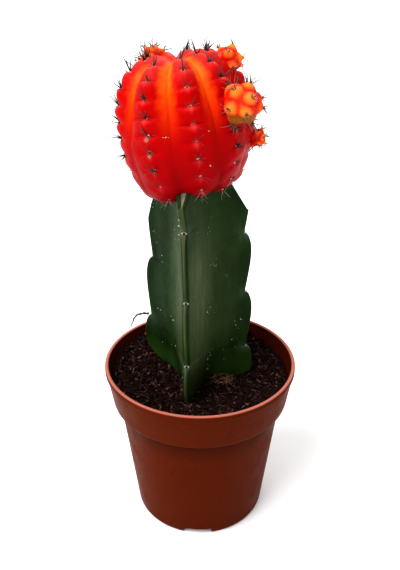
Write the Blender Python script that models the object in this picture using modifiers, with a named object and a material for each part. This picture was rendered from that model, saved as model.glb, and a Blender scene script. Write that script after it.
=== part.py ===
"""Potted moon cactus: a ribbed red globe grafted on a green three-winged stem.

The stem is rooted in peat in a small round plastic nursery pot, and four
young offsets grow on the globe. Sizes are in metres and +Z is up. The origin
is the centre of the pot's foot, on the surface that the pot stands on. An
azimuth is measured from the front of the plant, -Y, towards +X.
"""

import math
import random

import bmesh
import bpy
from mathutils import Matrix, Vector

# Clearance between two pieces that touch.
GAP = 0.0003

# Pot: a tapered body, a straight band below the rim and a rolled lip.
LIP_RADIUS = 0.0325
POT_HEIGHT = 0.0586
LIP_WIDTH = 0.0013
LIP_DEPTH = 0.0020
BAND_BOTTOM_RADIUS = 0.0302
BAND_BOTTOM_HEIGHT = 0.0446
BODY_TOP_RADIUS = 0.02815
FOOT_RADIUS = 0.0230
WALL = 0.0009
FLOOR_UNDERSIDE = 0.0018
FLOOR_TOP = 0.0029
CORNER = 0.0006
FOOT_RING_WIDTH = 0.0024
TURN_STEPS = 48
FOOT_NOTCHES = 3
FOOT_NOTCH_WIDTH = 0.0100
FOOT_NOTCH_AZIMUTH = math.radians(-2.5)
DRAIN_HOLES = 6
DRAIN_HOLE_RADIUS = 0.0024
DRAIN_CIRCLE_RADIUS = 0.0130

# Peat: a dished surface, lowest round the stem and highest at the back left.
SOIL_LEVEL = 0.0497
SOIL_WALL_RISE = 0.0034
SOIL_TILT = 0.0012
SOIL_LUMP = 0.0004
SOIL_RINGS = 8

# Stem: three wings round an upright axis, cut flat at the graft.
STEM_AXIS = Vector((-0.0018, 0.0025, 0.0))
GRAFT_HEIGHT = 0.1240
STEM_FOOT = 0.0380
STEM_RINGS = 40
VALLEY_RADIUS = 0.0080
BURIED_RADIUS = 0.0050
FOOT_CORE_RADIUS = 0.0030
FOOT_TAPER_HEIGHT = 0.0640
NOTCH_DEPTH = 0.0022
DROOP_SPAN = 0.0090

# Each wing: azimuth, radius at its notches high and low on the stem, height of
# one notch and the pitch to the next, the corner (radius, height) and slope of
# its bevelled top, the radius and height where its margin turns in to the
# buried foot with the slope there, and how far its lowest lobe droops.
WINGS = (
    {
        "azimuth": math.radians(-8),
        "radii": (0.0172, 0.0176),
        "notches": (0.1105, 0.0228),
        "bevel": (0.0174, 0.1186, 1.0),
        "foot": (0.0176, 0.0540, 2.2),
        "droop": 0.0,
    },
    {
        "azimuth": math.radians(95),
        "radii": (0.0152, 0.0180),
        "notches": (0.1035, 0.0210),
        "bevel": (0.0167, 0.1112, 1.65),
        "foot": (0.0205, 0.0522, 0.35),
        "droop": 0.0025,
    },
    {
        "azimuth": math.radians(-119),
        "radii": (0.0152, 0.0180),
        "notches": (0.0925, 0.0225),
        "bevel": (0.0172, 0.1048, 3.1),
        "foot": (0.0200, 0.0632, 0.9),
        "droop": 0.0,
    },
)

# Globe: nine ribs, each a row of chins with an areole in the notch above it.
GLOBE_CENTRE = Vector((-0.0043, 0.0030, 0.1388))
GLOBE_TILT = math.radians(-8)
GLOBE_RADIUS = 0.0200
GLOBE_TOP = 0.0203
GLOBE_BOTTOM = 0.0230
GLOBE_SQUARENESS = 2.6
CRESTS = tuple(map(math.radians, (-77, -31, 9, 46, 82, 122, 162, 202, 243)))
RIBS = len(CRESTS)
RIB_DEPTH = 0.0036
CHIN_DEPTH = 0.0010
APEX_DEPTH = 0.0034
APEX_WIDTH = math.radians(17)
UNDERSIDE_DEPTH = 0.0030
UNDERSIDE_WIDTH = math.radians(24)
SEGMENTS_PER_RIB = 6
RINGS_PER_CHIN = 3
GLOBE_RINGS = 39
CHIN_PITCH = math.pi * RINGS_PER_CHIN / GLOBE_RINGS
FIRST_AREOLE = 2 * CHIN_PITCH
RIB_SHIFTS = tuple(map(math.radians, (-2, 1, -3, -3, -1, 2, -2, 1, -1)))

# Offsets on the globe: azimuth, polar angle, distance from the globe's centre
# to the offset's own centre, its radius and its number of ribs.
OFFSETS = (
    (math.radians(-143), math.radians(33), 0.0212, 0.0038, 7),
    (math.radians(86), math.radians(48), 0.0217, 0.0040, 7),
    (math.radians(49), math.radians(75), 0.0236, 0.0053, 8),
    (math.radians(84), math.radians(109), 0.0227, 0.0028, 6),
)
OFFSET_NECK = 0.75

# Spine clusters: a low cushion with three spines, on the largest areoles.
CLUSTERS_PER_RIB = 5
CUSHION_RADIUS = 0.00055
CUSHION_HEIGHT = 0.0003
SPINE_LENGTHS = (0.0022, 0.0034)
SPINE_SPREAD = math.radians(48)
SPINE_TIP = 0.12
CLUSTER_VARIANTS = 4

# Dried aerial root on the left wing, by its points.
ROOT_POINTS = (
    (-0.0180, 0.0115, 0.0694),
    (-0.0200, 0.0115, 0.0700),
    (-0.0219, 0.0113, 0.0692),
    (-0.0234, 0.0111, 0.0679),
    (-0.0240, 0.0110, 0.0664),
    (-0.0244, 0.0109, 0.0646),
)
ROOT_RADIUS = 0.0002

PARTS = "potted_moon_cactus"
CUTTERS = "cutters"


def clear_scene():
    for obj in list(bpy.data.objects):
        bpy.data.objects.remove(obj, do_unlink=True)


def new_collection(name):
    collection = bpy.data.collections.new(name)
    bpy.context.scene.collection.children.link(collection)
    return collection


def material(name, colour, roughness, metallic=0.0):
    made = bpy.data.materials.new(name)
    made.use_nodes = True
    shader = made.node_tree.nodes["Principled BSDF"]
    shader.inputs["Base Color"].default_value = (*colour, 1.0)
    shader.inputs["Roughness"].default_value = roughness
    shader.inputs["Metallic"].default_value = metallic
    made.diffuse_color = (*colour, 1.0)
    return made


def add_object(name, data, finish=None):
    obj = bpy.data.objects.new(name, data)
    bpy.data.collections[PARTS].objects.link(obj)
    if finish:
        data.materials.append(finish)
    return obj


def add_mesh(name, bm, finish=None):
    mesh = bpy.data.meshes.new(name)
    bmesh.ops.recalc_face_normals(bm, faces=bm.faces)
    bm.to_mesh(mesh)
    bm.free()
    mesh.shade_smooth()
    mesh.set_sharp_from_angle(angle=math.radians(50))
    return add_object(name, mesh, finish)


def make_cutter(obj):
    """Moves an object to the cutters, which are never part of the model."""
    bpy.data.collections[PARTS].objects.unlink(obj)
    bpy.data.collections[CUTTERS].objects.link(obj)
    obj.hide_render = True
    obj.display_type = "WIRE"
    return obj


def evaluated_mesh(obj):
    bpy.context.view_layer.update()
    graph = bpy.context.evaluated_depsgraph_get()
    return bpy.data.meshes.new_from_object(obj.evaluated_get(graph))


def grown_cutter(obj, distance):
    """A cutter that keeps this distance from the object's surface all over."""
    bm = bmesh.new()
    bm.from_mesh(evaluated_mesh(obj))
    bm.normal_update()
    moves = [v.normal * v.calc_shell_factor() * distance for v in bm.verts]
    for vertex, move in zip(bm.verts, moves):
        vertex.co += move
    cutter = add_mesh(obj.name + "_cutter", bm)
    cutter.matrix_world = obj.matrix_world
    return make_cutter(cutter)


def cut(obj, cutter):
    boolean = obj.modifiers.new("cut_" + cutter.name, "BOOLEAN")
    boolean.operation = "DIFFERENCE"
    boolean.solver = "EXACT"
    boolean.object = cutter


def heading(azimuth):
    return Vector((math.sin(azimuth), -math.cos(azimuth), 0.0))


def turned(name, profile, finish):
    """A solid turned round Z. The profile starts and ends on the axis and runs
    down its outer side."""
    bm = bmesh.new()
    points = [bm.verts.new((radius, 0.0, height)) for radius, height in profile]
    for start, end in zip(points, points[1:]):
        bm.edges.new((start, end))
    mesh = bpy.data.meshes.new(name)
    bm.to_mesh(mesh)
    bm.free()
    obj = add_object(name, mesh, finish)
    screw = obj.modifiers.new("turn", "SCREW")
    screw.axis = "Z"
    screw.steps = TURN_STEPS
    screw.render_steps = TURN_STEPS
    screw.use_merge_vertices = True
    screw.merge_threshold = 0.00001
    return obj


# ---- pot ------------------------------------------------------------------


def body_radius(height):
    """Outer radius of the tapered body at a height above the foot."""
    return FOOT_RADIUS + (BODY_TOP_RADIUS - FOOT_RADIUS) * height / BAND_BOTTOM_HEIGHT


def inner_wall():
    """The inside of the pot, from the floor's edge up to the ledge of the band."""
    floor_edge = body_radius(FLOOR_TOP) - WALL
    ledge = BAND_BOTTOM_HEIGHT + WALL / 2
    return (
        (floor_edge - CORNER, FLOOR_TOP),
        (floor_edge, FLOOR_TOP + CORNER),
        (BODY_TOP_RADIUS - WALL, ledge - 2 * CORNER),
        (BAND_BOTTOM_RADIUS - 1.2 * WALL, ledge),
    )


def pot_profile():
    """Up the inside from the floor, over the lip, down the outside and under."""
    lip_inside = LIP_RADIUS - LIP_WIDTH
    ring_inside = FOOT_RADIUS - FOOT_RING_WIDTH
    return (
        (0.0, FLOOR_TOP),
        *inner_wall(),
        (lip_inside, POT_HEIGHT - 0.6 * LIP_DEPTH),
        (lip_inside, POT_HEIGHT - 0.2 * LIP_WIDTH),
        (lip_inside + 0.2 * LIP_WIDTH, POT_HEIGHT),
        (LIP_RADIUS - 0.3 * LIP_WIDTH, POT_HEIGHT - 0.1 * LIP_WIDTH),
        (LIP_RADIUS, POT_HEIGHT - 0.3 * LIP_DEPTH),
        (LIP_RADIUS, POT_HEIGHT - 0.7 * LIP_DEPTH),
        (LIP_RADIUS - 0.3 * LIP_WIDTH, POT_HEIGHT - LIP_DEPTH),
        (BAND_BOTTOM_RADIUS, BAND_BOTTOM_HEIGHT + CORNER),
        (BAND_BOTTOM_RADIUS - CORNER, BAND_BOTTOM_HEIGHT),
        (BODY_TOP_RADIUS, BAND_BOTTOM_HEIGHT - 1.5 * CORNER),
        (body_radius(CORNER), CORNER),
        (FOOT_RADIUS - CORNER / 2, 0.0),
        (ring_inside, 0.0),
        (ring_inside - CORNER / 2, FLOOR_UNDERSIDE),
        (0.0, FLOOR_UNDERSIDE),
    )


def add_drain_holes(bm):
    """Round pegs through the floor, turned off the pot's own facets."""
    half_facet = math.pi / TURN_STEPS
    for hole in range(DRAIN_HOLES):
        azimuth = half_facet + 2 * math.pi * hole / DRAIN_HOLES
        centre = heading(azimuth) * DRAIN_CIRCLE_RADIUS
        bmesh.ops.create_cone(
            bm,
            cap_ends=True,
            segments=12,
            radius1=DRAIN_HOLE_RADIUS,
            radius2=DRAIN_HOLE_RADIUS,
            depth=3 * FLOOR_TOP,
            matrix=Matrix.Translation(centre + Vector((0, 0, FLOOR_UNDERSIDE))),
        )


def add_foot_notches(bm):
    """Blocks across the foot ring, a little lower than the floor's underside."""
    height = FLOOR_UNDERSIDE - GAP
    for notch in range(FOOT_NOTCHES):
        azimuth = FOOT_NOTCH_AZIMUTH + 2 * math.pi * notch / FOOT_NOTCHES
        place = Matrix.Translation(heading(azimuth) * FOOT_RADIUS)
        turn = Matrix.Rotation(azimuth, 4, "Z")
        size = Matrix.Diagonal((FOOT_NOTCH_WIDTH, 5 * FOOT_RING_WIDTH, 2 * height, 1.0))
        bmesh.ops.create_cube(bm, size=1.0, matrix=place @ turn @ size)


def build_pot():
    pot = turned("pot", pot_profile(), material("pot_plastic", (0.26, 0.055, 0.026), 0.42))
    bm = bmesh.new()
    add_drain_holes(bm)
    add_foot_notches(bm)
    cut(pot, make_cutter(add_mesh("drainage_cutter", bm)))
    return pot


# ---- stem -----------------------------------------------------------------


def margin_lobe(wing, height):
    """How far a wing's scalloped margin stands out of its notches, 0 to 1."""
    notch, pitch = wing["notches"]
    below_notch = ((notch - height) / pitch) % 1.0
    return math.sin(math.pi * math.sqrt(below_notch))


def wing_radius(wing, height):
    upper, lower = wing["radii"]
    down = (GRAFT_HEIGHT - height) / (GRAFT_HEIGHT - SOIL_LEVEL)
    margin = upper + (lower - upper) * down + NOTCH_DEPTH * margin_lobe(wing, height)
    corner_radius, corner_height, steepness = wing["bevel"]
    if height > corner_height:
        margin = min(margin, corner_radius - (height - corner_height) / steepness)
    foot_radius, foot_height, slope = wing["foot"]
    if height < foot_height:
        margin = min(margin, foot_radius - (foot_height - height) / slope)
    return max(margin, BURIED_RADIUS)


def valley_radius(height):
    """The core between the wings, tapering towards its buried foot."""
    taper = max(0.0, (FOOT_TAPER_HEIGHT - height) / (FOOT_TAPER_HEIGHT - STEM_FOOT))
    return VALLEY_RADIUS - (VALLEY_RADIUS - FOOT_CORE_RADIUS) * taper


def wing_section(wing, height):
    """Half section of a wing at one height: (along, across) from tip to root."""
    reach = wing_radius(wing, height)
    core = valley_radius(height)
    return (
        (reach, 0.0),
        (reach - 0.0005, min(0.0010, 0.2 * core)),
        (core + 0.62 * (reach - core), 0.24 * core),
        (core + 0.18 * (reach - core), 0.50 * core),
    )


def wing_point(wing, height, along, across):
    out = heading(wing["azimuth"])
    side = heading(wing["azimuth"] + math.pi / 2)
    near_foot = max(0.0, 1 - abs(height - SOIL_LEVEL) / DROOP_SPAN)
    droop = wing["droop"] * near_foot * (along / wing["foot"][0]) ** 2
    return STEM_AXIS + out * along + side * across + Vector((0, 0, height - droop))


def valley_point(wing, following, height):
    """Where the faces of two neighbouring wings meet the core."""
    between = (following["azimuth"] - wing["azimuth"]) % (2 * math.pi)
    out = heading(wing["azimuth"] + between / 2)
    return STEM_AXIS + out * valley_radius(height) + Vector((0, 0, height))


def stem_ring(height):
    """The stem's section at one height, anticlockwise from the front wing."""
    ring = []
    for index, wing in enumerate(WINGS):
        following = WINGS[(index + 1) % len(WINGS)]
        for along, across in wing_section(wing, height):
            ring.append(wing_point(wing, height, along, across))
        ring.append(valley_point(wing, following, height))
        for along, across in wing_section(following, height)[:0:-1]:
            ring.append(wing_point(following, height, along, -across))
    return ring


def build_stem():
    """A loft of unlike sections, closed by flat cuts at the graft and the foot."""
    bm = bmesh.new()
    rings = []
    for step in range(STEM_RINGS + 1):
        height = STEM_FOOT + (GRAFT_HEIGHT - STEM_FOOT) * step / STEM_RINGS
        rings.append([bm.verts.new(point) for point in stem_ring(height)])
    for lower, upper in zip(rings, rings[1:]):
        for index in range(len(lower)):
            following = (index + 1) % len(lower)
            corners = (lower[index], lower[following], upper[following], upper[index])
            bm.faces.new(corners)
    bm.faces.new(rings[0][::-1])
    bm.faces.new(rings[-1])
    return add_mesh("rootstock", bm, material("stem_skin", (0.035, 0.090, 0.030), 0.5))


# ---- peat -----------------------------------------------------------------


def soil_height(x, y, reach):
    """The peat's surface, where reach is 0 on the axis and 1 at the wall."""
    lumps = math.sin(900 * x + 1.3) * math.sin(760 * y) + math.sin(1500 * y - 1100 * x)
    back_left = (y - x) / BAND_BOTTOM_RADIUS
    dish = SOIL_WALL_RISE * reach**4 + SOIL_TILT * reach * back_left
    return SOIL_LEVEL + dish + SOIL_LUMP * lumps


def soil_profile(top):
    """Across the surface, down the wall a gap inside the pot, and back under."""
    wall = [(radius - GAP, height + GAP) for radius, height in inner_wall()]
    reach, _ = wall[-1]
    surface = [(reach * ring / SOIL_RINGS, top) for ring in range(SOIL_RINGS + 1)]
    return (*surface, *wall[::-1], (0.0, FLOOR_TOP + GAP))


def build_soil():
    top = SOIL_LEVEL + SOIL_WALL_RISE
    blank = turned("soil_blank", soil_profile(top), None)
    bm = bmesh.new()
    bm.from_mesh(evaluated_mesh(blank))
    bpy.data.objects.remove(blank)
    surface = [vertex for vertex in bm.verts if vertex.co.z > top - GAP]
    wall = max(vertex.co.xy.length for vertex in surface)
    for vertex in surface:
        reach = vertex.co.xy.length / wall
        vertex.co.z = soil_height(vertex.co.x, vertex.co.y, reach)
    return add_mesh("soil", bm, material("peat", (0.022, 0.012, 0.008), 0.95))


# ---- globe ----------------------------------------------------------------


def bulge(polar, top, bottom, radius):
    """Distance from the centre to a squarish round body's skin at this angle."""
    height = top if polar < math.pi / 2 else bottom
    across = abs(math.sin(polar) / radius) ** GLOBE_SQUARENESS
    along = abs(math.cos(polar) / height) ** GLOBE_SQUARENESS
    return (across + along) ** (-1 / GLOBE_SQUARENESS)


def rib_azimuth(phase):
    """Azimuth at a count of ribs: whole on each crest, and a half in each groove."""
    rib = math.floor(phase)
    start = CRESTS[rib % RIBS]
    width = (CRESTS[(rib + 1) % RIBS] - start) % (2 * math.pi)
    return start + width * (phase - rib)


def crest_weight(phase):
    """1 on a rib's crest, falling to 0 in the sharp groove beside it."""
    return abs(math.cos(math.pi * phase))


def areole_polar(rib, number):
    return FIRST_AREOLE + RIB_SHIFTS[rib] + CHIN_PITCH * number


def chin(polar, rib):
    """0 in the notch of an areole, rising at once to 1 on the chin below it."""
    phase = ((polar - areole_polar(rib, 0)) / CHIN_PITCH) % 1.0
    return math.sin(math.pi * phase**0.6)


def globe_skin(phase, polar):
    """A point of the globe's skin in the globe's own frame."""
    crest = crest_weight(phase)
    reach = bulge(polar, GLOBE_TOP, GLOBE_BOTTOM, GLOBE_RADIUS)
    ring = math.sin(polar)
    reach -= RIB_DEPTH * (1 - crest**0.8) * ring**0.6
    reach -= CHIN_DEPTH * (1 - chin(polar, round(phase) % RIBS)) * crest**2 * ring
    reach -= APEX_DEPTH * math.exp(-((polar / APEX_WIDTH) ** 2))
    reach -= UNDERSIDE_DEPTH * math.exp(-(((math.pi - polar) / UNDERSIDE_WIDTH) ** 2))
    return (heading(rib_azimuth(phase)) * ring + Vector((0, 0, math.cos(polar)))) * reach


def globe_frame():
    return Matrix.Translation(GLOBE_CENTRE) @ Matrix.Rotation(GLOBE_TILT, 4, "Y")


def build_globe():
    """A sphere whose vertices are moved out to the ribbed skin."""
    bm = bmesh.new()
    bmesh.ops.create_uvsphere(
        bm, u_segments=RIBS * SEGMENTS_PER_RIB, v_segments=GLOBE_RINGS, radius=1.0
    )
    for vertex in bm.verts:
        way = vertex.co.normalized()
        phase = math.atan2(way.y, way.x) / (2 * math.pi) * RIBS % RIBS
        polar = math.acos(max(-1.0, min(1.0, way.z)))
        shift = RIB_SHIFTS[round(phase) % RIBS] * crest_weight(phase) * way.xy.length
        vertex.co = globe_skin(phase, polar + shift)
    globe = add_mesh("scion", bm, material("globe_skin", (0.62, 0.010, 0.012), 0.38))
    globe.matrix_world = globe_frame()
    return globe


# ---- offsets --------------------------------------------------------------


def offset_frame(azimuth, polar, distance):
    """Frame of an offset: +Z runs outwards from the globe's centre."""
    out = heading(azimuth) * math.sin(polar) + Vector((0, 0, math.cos(polar)))
    turn = out.to_track_quat("Z", "Y").to_matrix().to_4x4()
    return globe_frame() @ Matrix.Translation(out * distance) @ turn


def build_offset(number, azimuth, polar, distance, radius, ribs):
    """A young globe with pointed tubercles and a neck down to the skin."""
    bm = bmesh.new()
    bmesh.ops.create_uvsphere(bm, u_segments=4 * ribs, v_segments=10, radius=1.0)
    for vertex in bm.verts:
        way = vertex.co.normalized()
        around = math.atan2(way.y, way.x)
        down = math.acos(max(-1.0, min(1.0, way.z)))
        point = 0.5 + 0.5 * math.cos(ribs * around)
        row = 0.5 - 0.5 * math.cos(5 * down)
        swell = 1 + 0.16 * (point * row - 0.5) * way.xy.length
        vertex.co = way * radius * swell
        if way.z < 0:
            vertex.co.z *= 1 + OFFSET_NECK
            vertex.co.xy *= 1 - 0.35 * way.z**2
        else:
            vertex.co.z *= 0.85
    finish = material(f"offset_skin_{number}", (0.75, 0.12, 0.012), 0.4)
    offset = add_mesh(f"offset_{number}", bm, finish)
    offset.matrix_world = offset_frame(azimuth, polar, distance)
    return offset


# ---- spine clusters -------------------------------------------------------


def cluster_mesh(variant):
    """A six-sided cushion with a spine drawn out of every second facet."""
    rng = random.Random(variant)
    bm = bmesh.new()
    bmesh.ops.create_cone(
        bm,
        cap_ends=True,
        cap_tris=True,
        segments=6,
        radius1=CUSHION_RADIUS,
        radius2=0.7 * CUSHION_RADIUS,
        depth=CUSHION_HEIGHT,
        matrix=Matrix.Translation((0, 0, CUSHION_HEIGHT / 2)),
    )
    bm.normal_update()
    facets = [face for face in bm.faces if face.normal.z > 0.9]
    facets.sort(key=lambda face: math.atan2(*face.calc_center_median().xy))
    grown = bmesh.ops.extrude_discrete_faces(bm, faces=facets[::2])["faces"]
    for face in grown:
        root = face.calc_center_median()
        outward = Vector((root.x, root.y, 0)).normalized()
        lean = SPINE_SPREAD * rng.uniform(0.7, 1.2)
        way = outward * math.sin(lean) + Vector((0, 0, math.cos(lean)))
        tip = root + way * rng.uniform(*SPINE_LENGTHS)
        for vertex in face.verts:
            vertex.co = tip + (vertex.co - root) * SPINE_TIP
    mesh = bpy.data.meshes.new(f"cluster_{variant}")
    bmesh.ops.recalc_face_normals(bm, faces=bm.faces)
    bm.to_mesh(mesh)
    bm.free()
    return mesh


def under_offset(place):
    for azimuth, polar, distance, radius, _ in OFFSETS:
        centre = offset_frame(azimuth, polar, distance).translation
        if (globe_frame() @ place - centre).length < radius + 0.0042:
            return True
    return False


def build_clusters():
    finish = material("spines", (0.10, 0.07, 0.055), 0.6)
    meshes = [cluster_mesh(variant) for variant in range(CLUSTER_VARIANTS)]
    for mesh in meshes:
        mesh.materials.append(finish)
    for rib in range(RIBS):
        for number in range(CLUSTERS_PER_RIB):
            polar = areole_polar(rib, number)
            out = heading(CRESTS[rib]) * math.sin(polar) + Vector((0, 0, math.cos(polar)))
            place = globe_skin(rib, polar) + out * 2 * GAP
            if under_offset(place):
                continue
            mesh = meshes[(rib + number) % CLUSTER_VARIANTS]
            cluster = add_object(f"spines_{rib + 1}_{number + 1}", mesh)
            turn = out.to_track_quat("Z", "Y").to_matrix().to_4x4()
            cluster.matrix_world = globe_frame() @ Matrix.Translation(place) @ turn


# ---- aerial root ----------------------------------------------------------


def build_aerial_root():
    curve = bpy.data.curves.new("aerial_root", "CURVE")
    curve.dimensions = "3D"
    curve.bevel_depth = ROOT_RADIUS
    curve.bevel_resolution = 1
    curve.use_fill_caps = True
    spline = curve.splines.new("POLY")
    spline.points.add(len(ROOT_POINTS) - 1)
    for point, place in zip(spline.points, ROOT_POINTS):
        point.co = (*place, 1.0)
    return add_object("aerial_root", curve, material("dry_root", (0.10, 0.09, 0.08), 0.8))


def main():
    clear_scene()
    new_collection(PARTS)
    new_collection(CUTTERS)
    build_pot()
    stem = build_stem()
    stem_cutter = grown_cutter(stem, GAP)
    soil = build_soil()
    cut(soil, stem_cutter)
    globe = build_globe()
    globe_cutter = grown_cutter(globe, GAP)
    cut(globe, stem_cutter)
    for number, placing in enumerate(OFFSETS, start=1):
        cut(build_offset(number, *placing), globe_cutter)
    build_clusters()
    build_aerial_root()


main()
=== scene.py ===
"""Looks of the potted moon cactus: a red globe grafted on a green three-winged stem.

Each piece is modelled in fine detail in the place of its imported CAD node. Sizes
are in metres and +Z is up. The front of the plant faces -Y, and an azimuth is
measured from there towards +X.
"""

import math
import random

import bpy
import numpy as np
from mathutils import Matrix, Vector, noise


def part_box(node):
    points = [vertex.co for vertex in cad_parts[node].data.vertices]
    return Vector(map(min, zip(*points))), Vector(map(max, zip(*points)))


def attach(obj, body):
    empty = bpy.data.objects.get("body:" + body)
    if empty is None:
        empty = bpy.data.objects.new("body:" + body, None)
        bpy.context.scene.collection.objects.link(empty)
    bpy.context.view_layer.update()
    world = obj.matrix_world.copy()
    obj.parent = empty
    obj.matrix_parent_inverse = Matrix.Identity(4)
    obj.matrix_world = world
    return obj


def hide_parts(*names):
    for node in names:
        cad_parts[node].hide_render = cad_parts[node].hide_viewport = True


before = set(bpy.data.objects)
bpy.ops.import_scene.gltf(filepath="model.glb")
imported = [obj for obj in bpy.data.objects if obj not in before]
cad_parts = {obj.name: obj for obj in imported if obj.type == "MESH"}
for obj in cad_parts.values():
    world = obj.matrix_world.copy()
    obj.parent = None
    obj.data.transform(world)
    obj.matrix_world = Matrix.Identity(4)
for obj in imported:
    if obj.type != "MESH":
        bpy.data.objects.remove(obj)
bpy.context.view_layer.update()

# ---- driving dimensions, from the frame where it gives them ----------------

POT_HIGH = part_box("pot")[1]
LIP_RADIUS = POT_HIGH.x
POT_HEIGHT = POT_HIGH.z
BAND_BOTTOM_RADIUS = 0.0302
BAND_BOTTOM_HEIGHT = 0.0446
BODY_TOP_RADIUS = 0.02815
FOOT_RADIUS = 0.0230
WALL = 0.0009
LIP_WIDTH = 0.0013
LIP_DEPTH = 0.0020
FLOOR_UNDERSIDE = 0.0018
FLOOR_TOP = 0.0029
FOOT_RING_WIDTH = 0.0024
FOOT_NOTCHES = 3
FOOT_NOTCH_WIDTH = 0.0100
FOOT_NOTCH_HEIGHT = 0.0022
FOOT_NOTCH_AZIMUTH = math.radians(-2.5)
DRAIN_HOLES = 6
DRAIN_HOLE_RADIUS = 0.0024
DRAIN_CIRCLE_RADIUS = 0.0130
# Heights of extra rows of points down the body.
BODY_ROWS = (0.036, 0.028, 0.020, 0.012, 0.006, 0.004, 0.003)
TURN_STEPS = 180

SOIL_LOW, SOIL_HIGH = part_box("soil")
SOIL_RADIUS = SOIL_HIGH.x
SOIL_LEVEL = 0.0497
SOIL_WALL_RISE = 0.0034
SOIL_TILT = 0.0012
# Low mounds of peat: middle (x, y), height and radius.
SOIL_MOUNDS = (
    ((-0.0018, 0.0025), 0.0020, 0.0085),
    ((0.0078, -0.0002), 0.0010, 0.0038),
)

STEM_LOW, STEM_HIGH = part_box("rootstock")
STEM_AXIS = Vector((-0.0018, 0.0025, 0.0))
GRAFT_HEIGHT = STEM_HIGH.z
STEM_FOOT = STEM_LOW.z
VALLEY_RADIUS = 0.0080
FOOT_CORE_RADIUS = 0.0030
BURIED_RADIUS = 0.0050
FOOT_TAPER_HEIGHT = 0.0640
NOTCH_DEPTH = 0.0022
DROOP_SPAN = 0.0090

# Each wing: azimuth, radius at its notches high and low on the stem, height of
# one notch and the pitch to the next, the corner (radius, height) and slope of
# its cut top, the radius and height where its margin starts to turn in to the
# buried foot with the depth of that turn, how far its lowest lobe droops and,
# for one, how far it leans to a side near the graft.
WINGS = (
    {
        "azimuth": math.radians(-8),
        "radii": (0.0172, 0.0176),
        "notches": (0.1105, 0.0228),
        "bevel": (0.0174, 0.1186, 1.0),
        "foot": (0.0176, 0.0540, 0.0110),
        "droop": 0.0,
        "lean": math.radians(-3.5),
    },
    {
        "azimuth": math.radians(95),
        "radii": (0.0152, 0.0180),
        "notches": (0.1035, 0.0210),
        "bevel": (0.0167, 0.1112, 1.65),
        "foot": (0.0205, 0.0545, 0.0052),
        "droop": 0.0025,
    },
    {
        "azimuth": math.radians(-119),
        "radii": (0.0138, 0.0184),
        "notches": (0.0925, 0.0225),
        "bevel": (0.0172, 0.1048, 3.1),
        "foot": (0.0198, 0.0615, 0.0105),
        "droop": 0.0,
    },
)

GLOBE_CENTRE = Vector((-0.0043, 0.0030, 0.1388))
GLOBE_TILT = math.radians(-8)
GLOBE_RADIUS = 0.0200
GLOBE_TOP = 0.0203
GLOBE_BOTTOM = 0.0230
GLOBE_SQUARENESS = 2.6
# Azimuths of the ribs' crests, the depth of the grooves above, on the flank and
# below, and the depth of the notches over the chins above and below.
CRESTS = np.radians((-77, -31, 9, 46, 82, 122, 162, 202, 243))
RIBS = len(CRESTS)
RIB_DEPTHS = (0.0036, 0.0008, 0.0030)
CHIN_DEPTHS = (0.0014, 0.0008)
APEX_DEPTH = 0.0034
APEX_WIDTH = math.radians(17)
UNDERSIDE_DEPTH = 0.0030
UNDERSIDE_WIDTH = math.radians(24)
CHIN_PITCH = math.radians(13.85)
FIRST_AREOLE = 2 * CHIN_PITCH
# How far down each rib's row of areoles is shifted.
RIB_SHIFTS = np.radians((-2, 4.5, -1.5, -3, -1, 2, -2, 1, -1))
AREOLES_PER_RIB = 10

OFFSETS = ("offset_1", "offset_2", "offset_3", "offset_4")
SPINE_NODES = [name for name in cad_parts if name.startswith("spines_")]

# The aerial root's route, its radius, and the height of its small waves.
ROOT_POINTS = (
    (-0.0180, 0.0115, 0.0694),
    (-0.0200, 0.0115, 0.0700),
    (-0.0219, 0.0113, 0.0692),
    (-0.0234, 0.0111, 0.0679),
    (-0.0240, 0.0110, 0.0664),
    (-0.0244, 0.0109, 0.0646),
)
ROOT_RADIUS = 0.00030
ROOT_STEPS = 41
ROOT_WAVE = 0.00012


# ---- mesh helpers ----------------------------------------------------------


# The four corners of a square, anticlockwise.
SQUARE = ((-1, -1), (1, -1), (1, 1), (-1, 1))

def heading(azimuth):
    """The level way at an azimuth."""
    return Vector((math.sin(azimuth), -math.cos(azimuth), 0.0))


def directions(azimuth, polar):
    """Unit vectors for arrays of azimuths and polar angles."""
    ring = np.sin(polar)
    return np.stack((np.sin(azimuth) * ring, -np.cos(azimuth) * ring, np.cos(polar)), -1)


def step_up(value, low, high):
    """0 below low and 1 above high, with a smooth rise between."""
    rise = np.clip((value - low) / (high - low), 0.0, 1.0)
    return rise * rise * (3 - 2 * rise)


def bell(value, width):
    """1 where a value is 0, with a smooth fall over a width on both sides."""
    return np.exp(-((value / width) ** 2))


def grid_faces(rows, columns):
    """Quads between the points of a grid whose columns run round."""
    row, column = np.meshgrid(np.arange(rows - 1), np.arange(columns))
    following = (column + 1) % columns
    quads = (
        row * columns + column,
        row * columns + following,
        (row + 1) * columns + following,
        (row + 1) * columns + column,
    )
    return np.stack(quads, -1).reshape(-1, 4)


def capped_faces(rows, columns, flipped=False):
    """The quads of a grid that runs round and a cap on its first and its last row."""
    faces = [tuple(face) for face in grid_faces(rows, columns)]
    faces.append(tuple(range(columns))[::-1])
    faces.append(tuple(range((rows - 1) * columns, rows * columns)))
    return [face[::-1] for face in faces] if flipped else faces


def fractal(points, size, octaves, seed):
    """Smooth noise from about -1 to 1 at each point, with features of this size."""
    shift = Vector((seed, 2.3 * seed, -1.7 * seed))
    scale = 1 / size
    return np.array(
        [noise.fractal(Vector(p) * scale + shift, 0.9, 2.1, octaves) for p in points]
    )


def transformed(points, matrix):
    """Points moved by a matrix."""
    turn = np.array(matrix.to_3x3())
    return points @ turn.T + np.array(matrix.translation)


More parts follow.
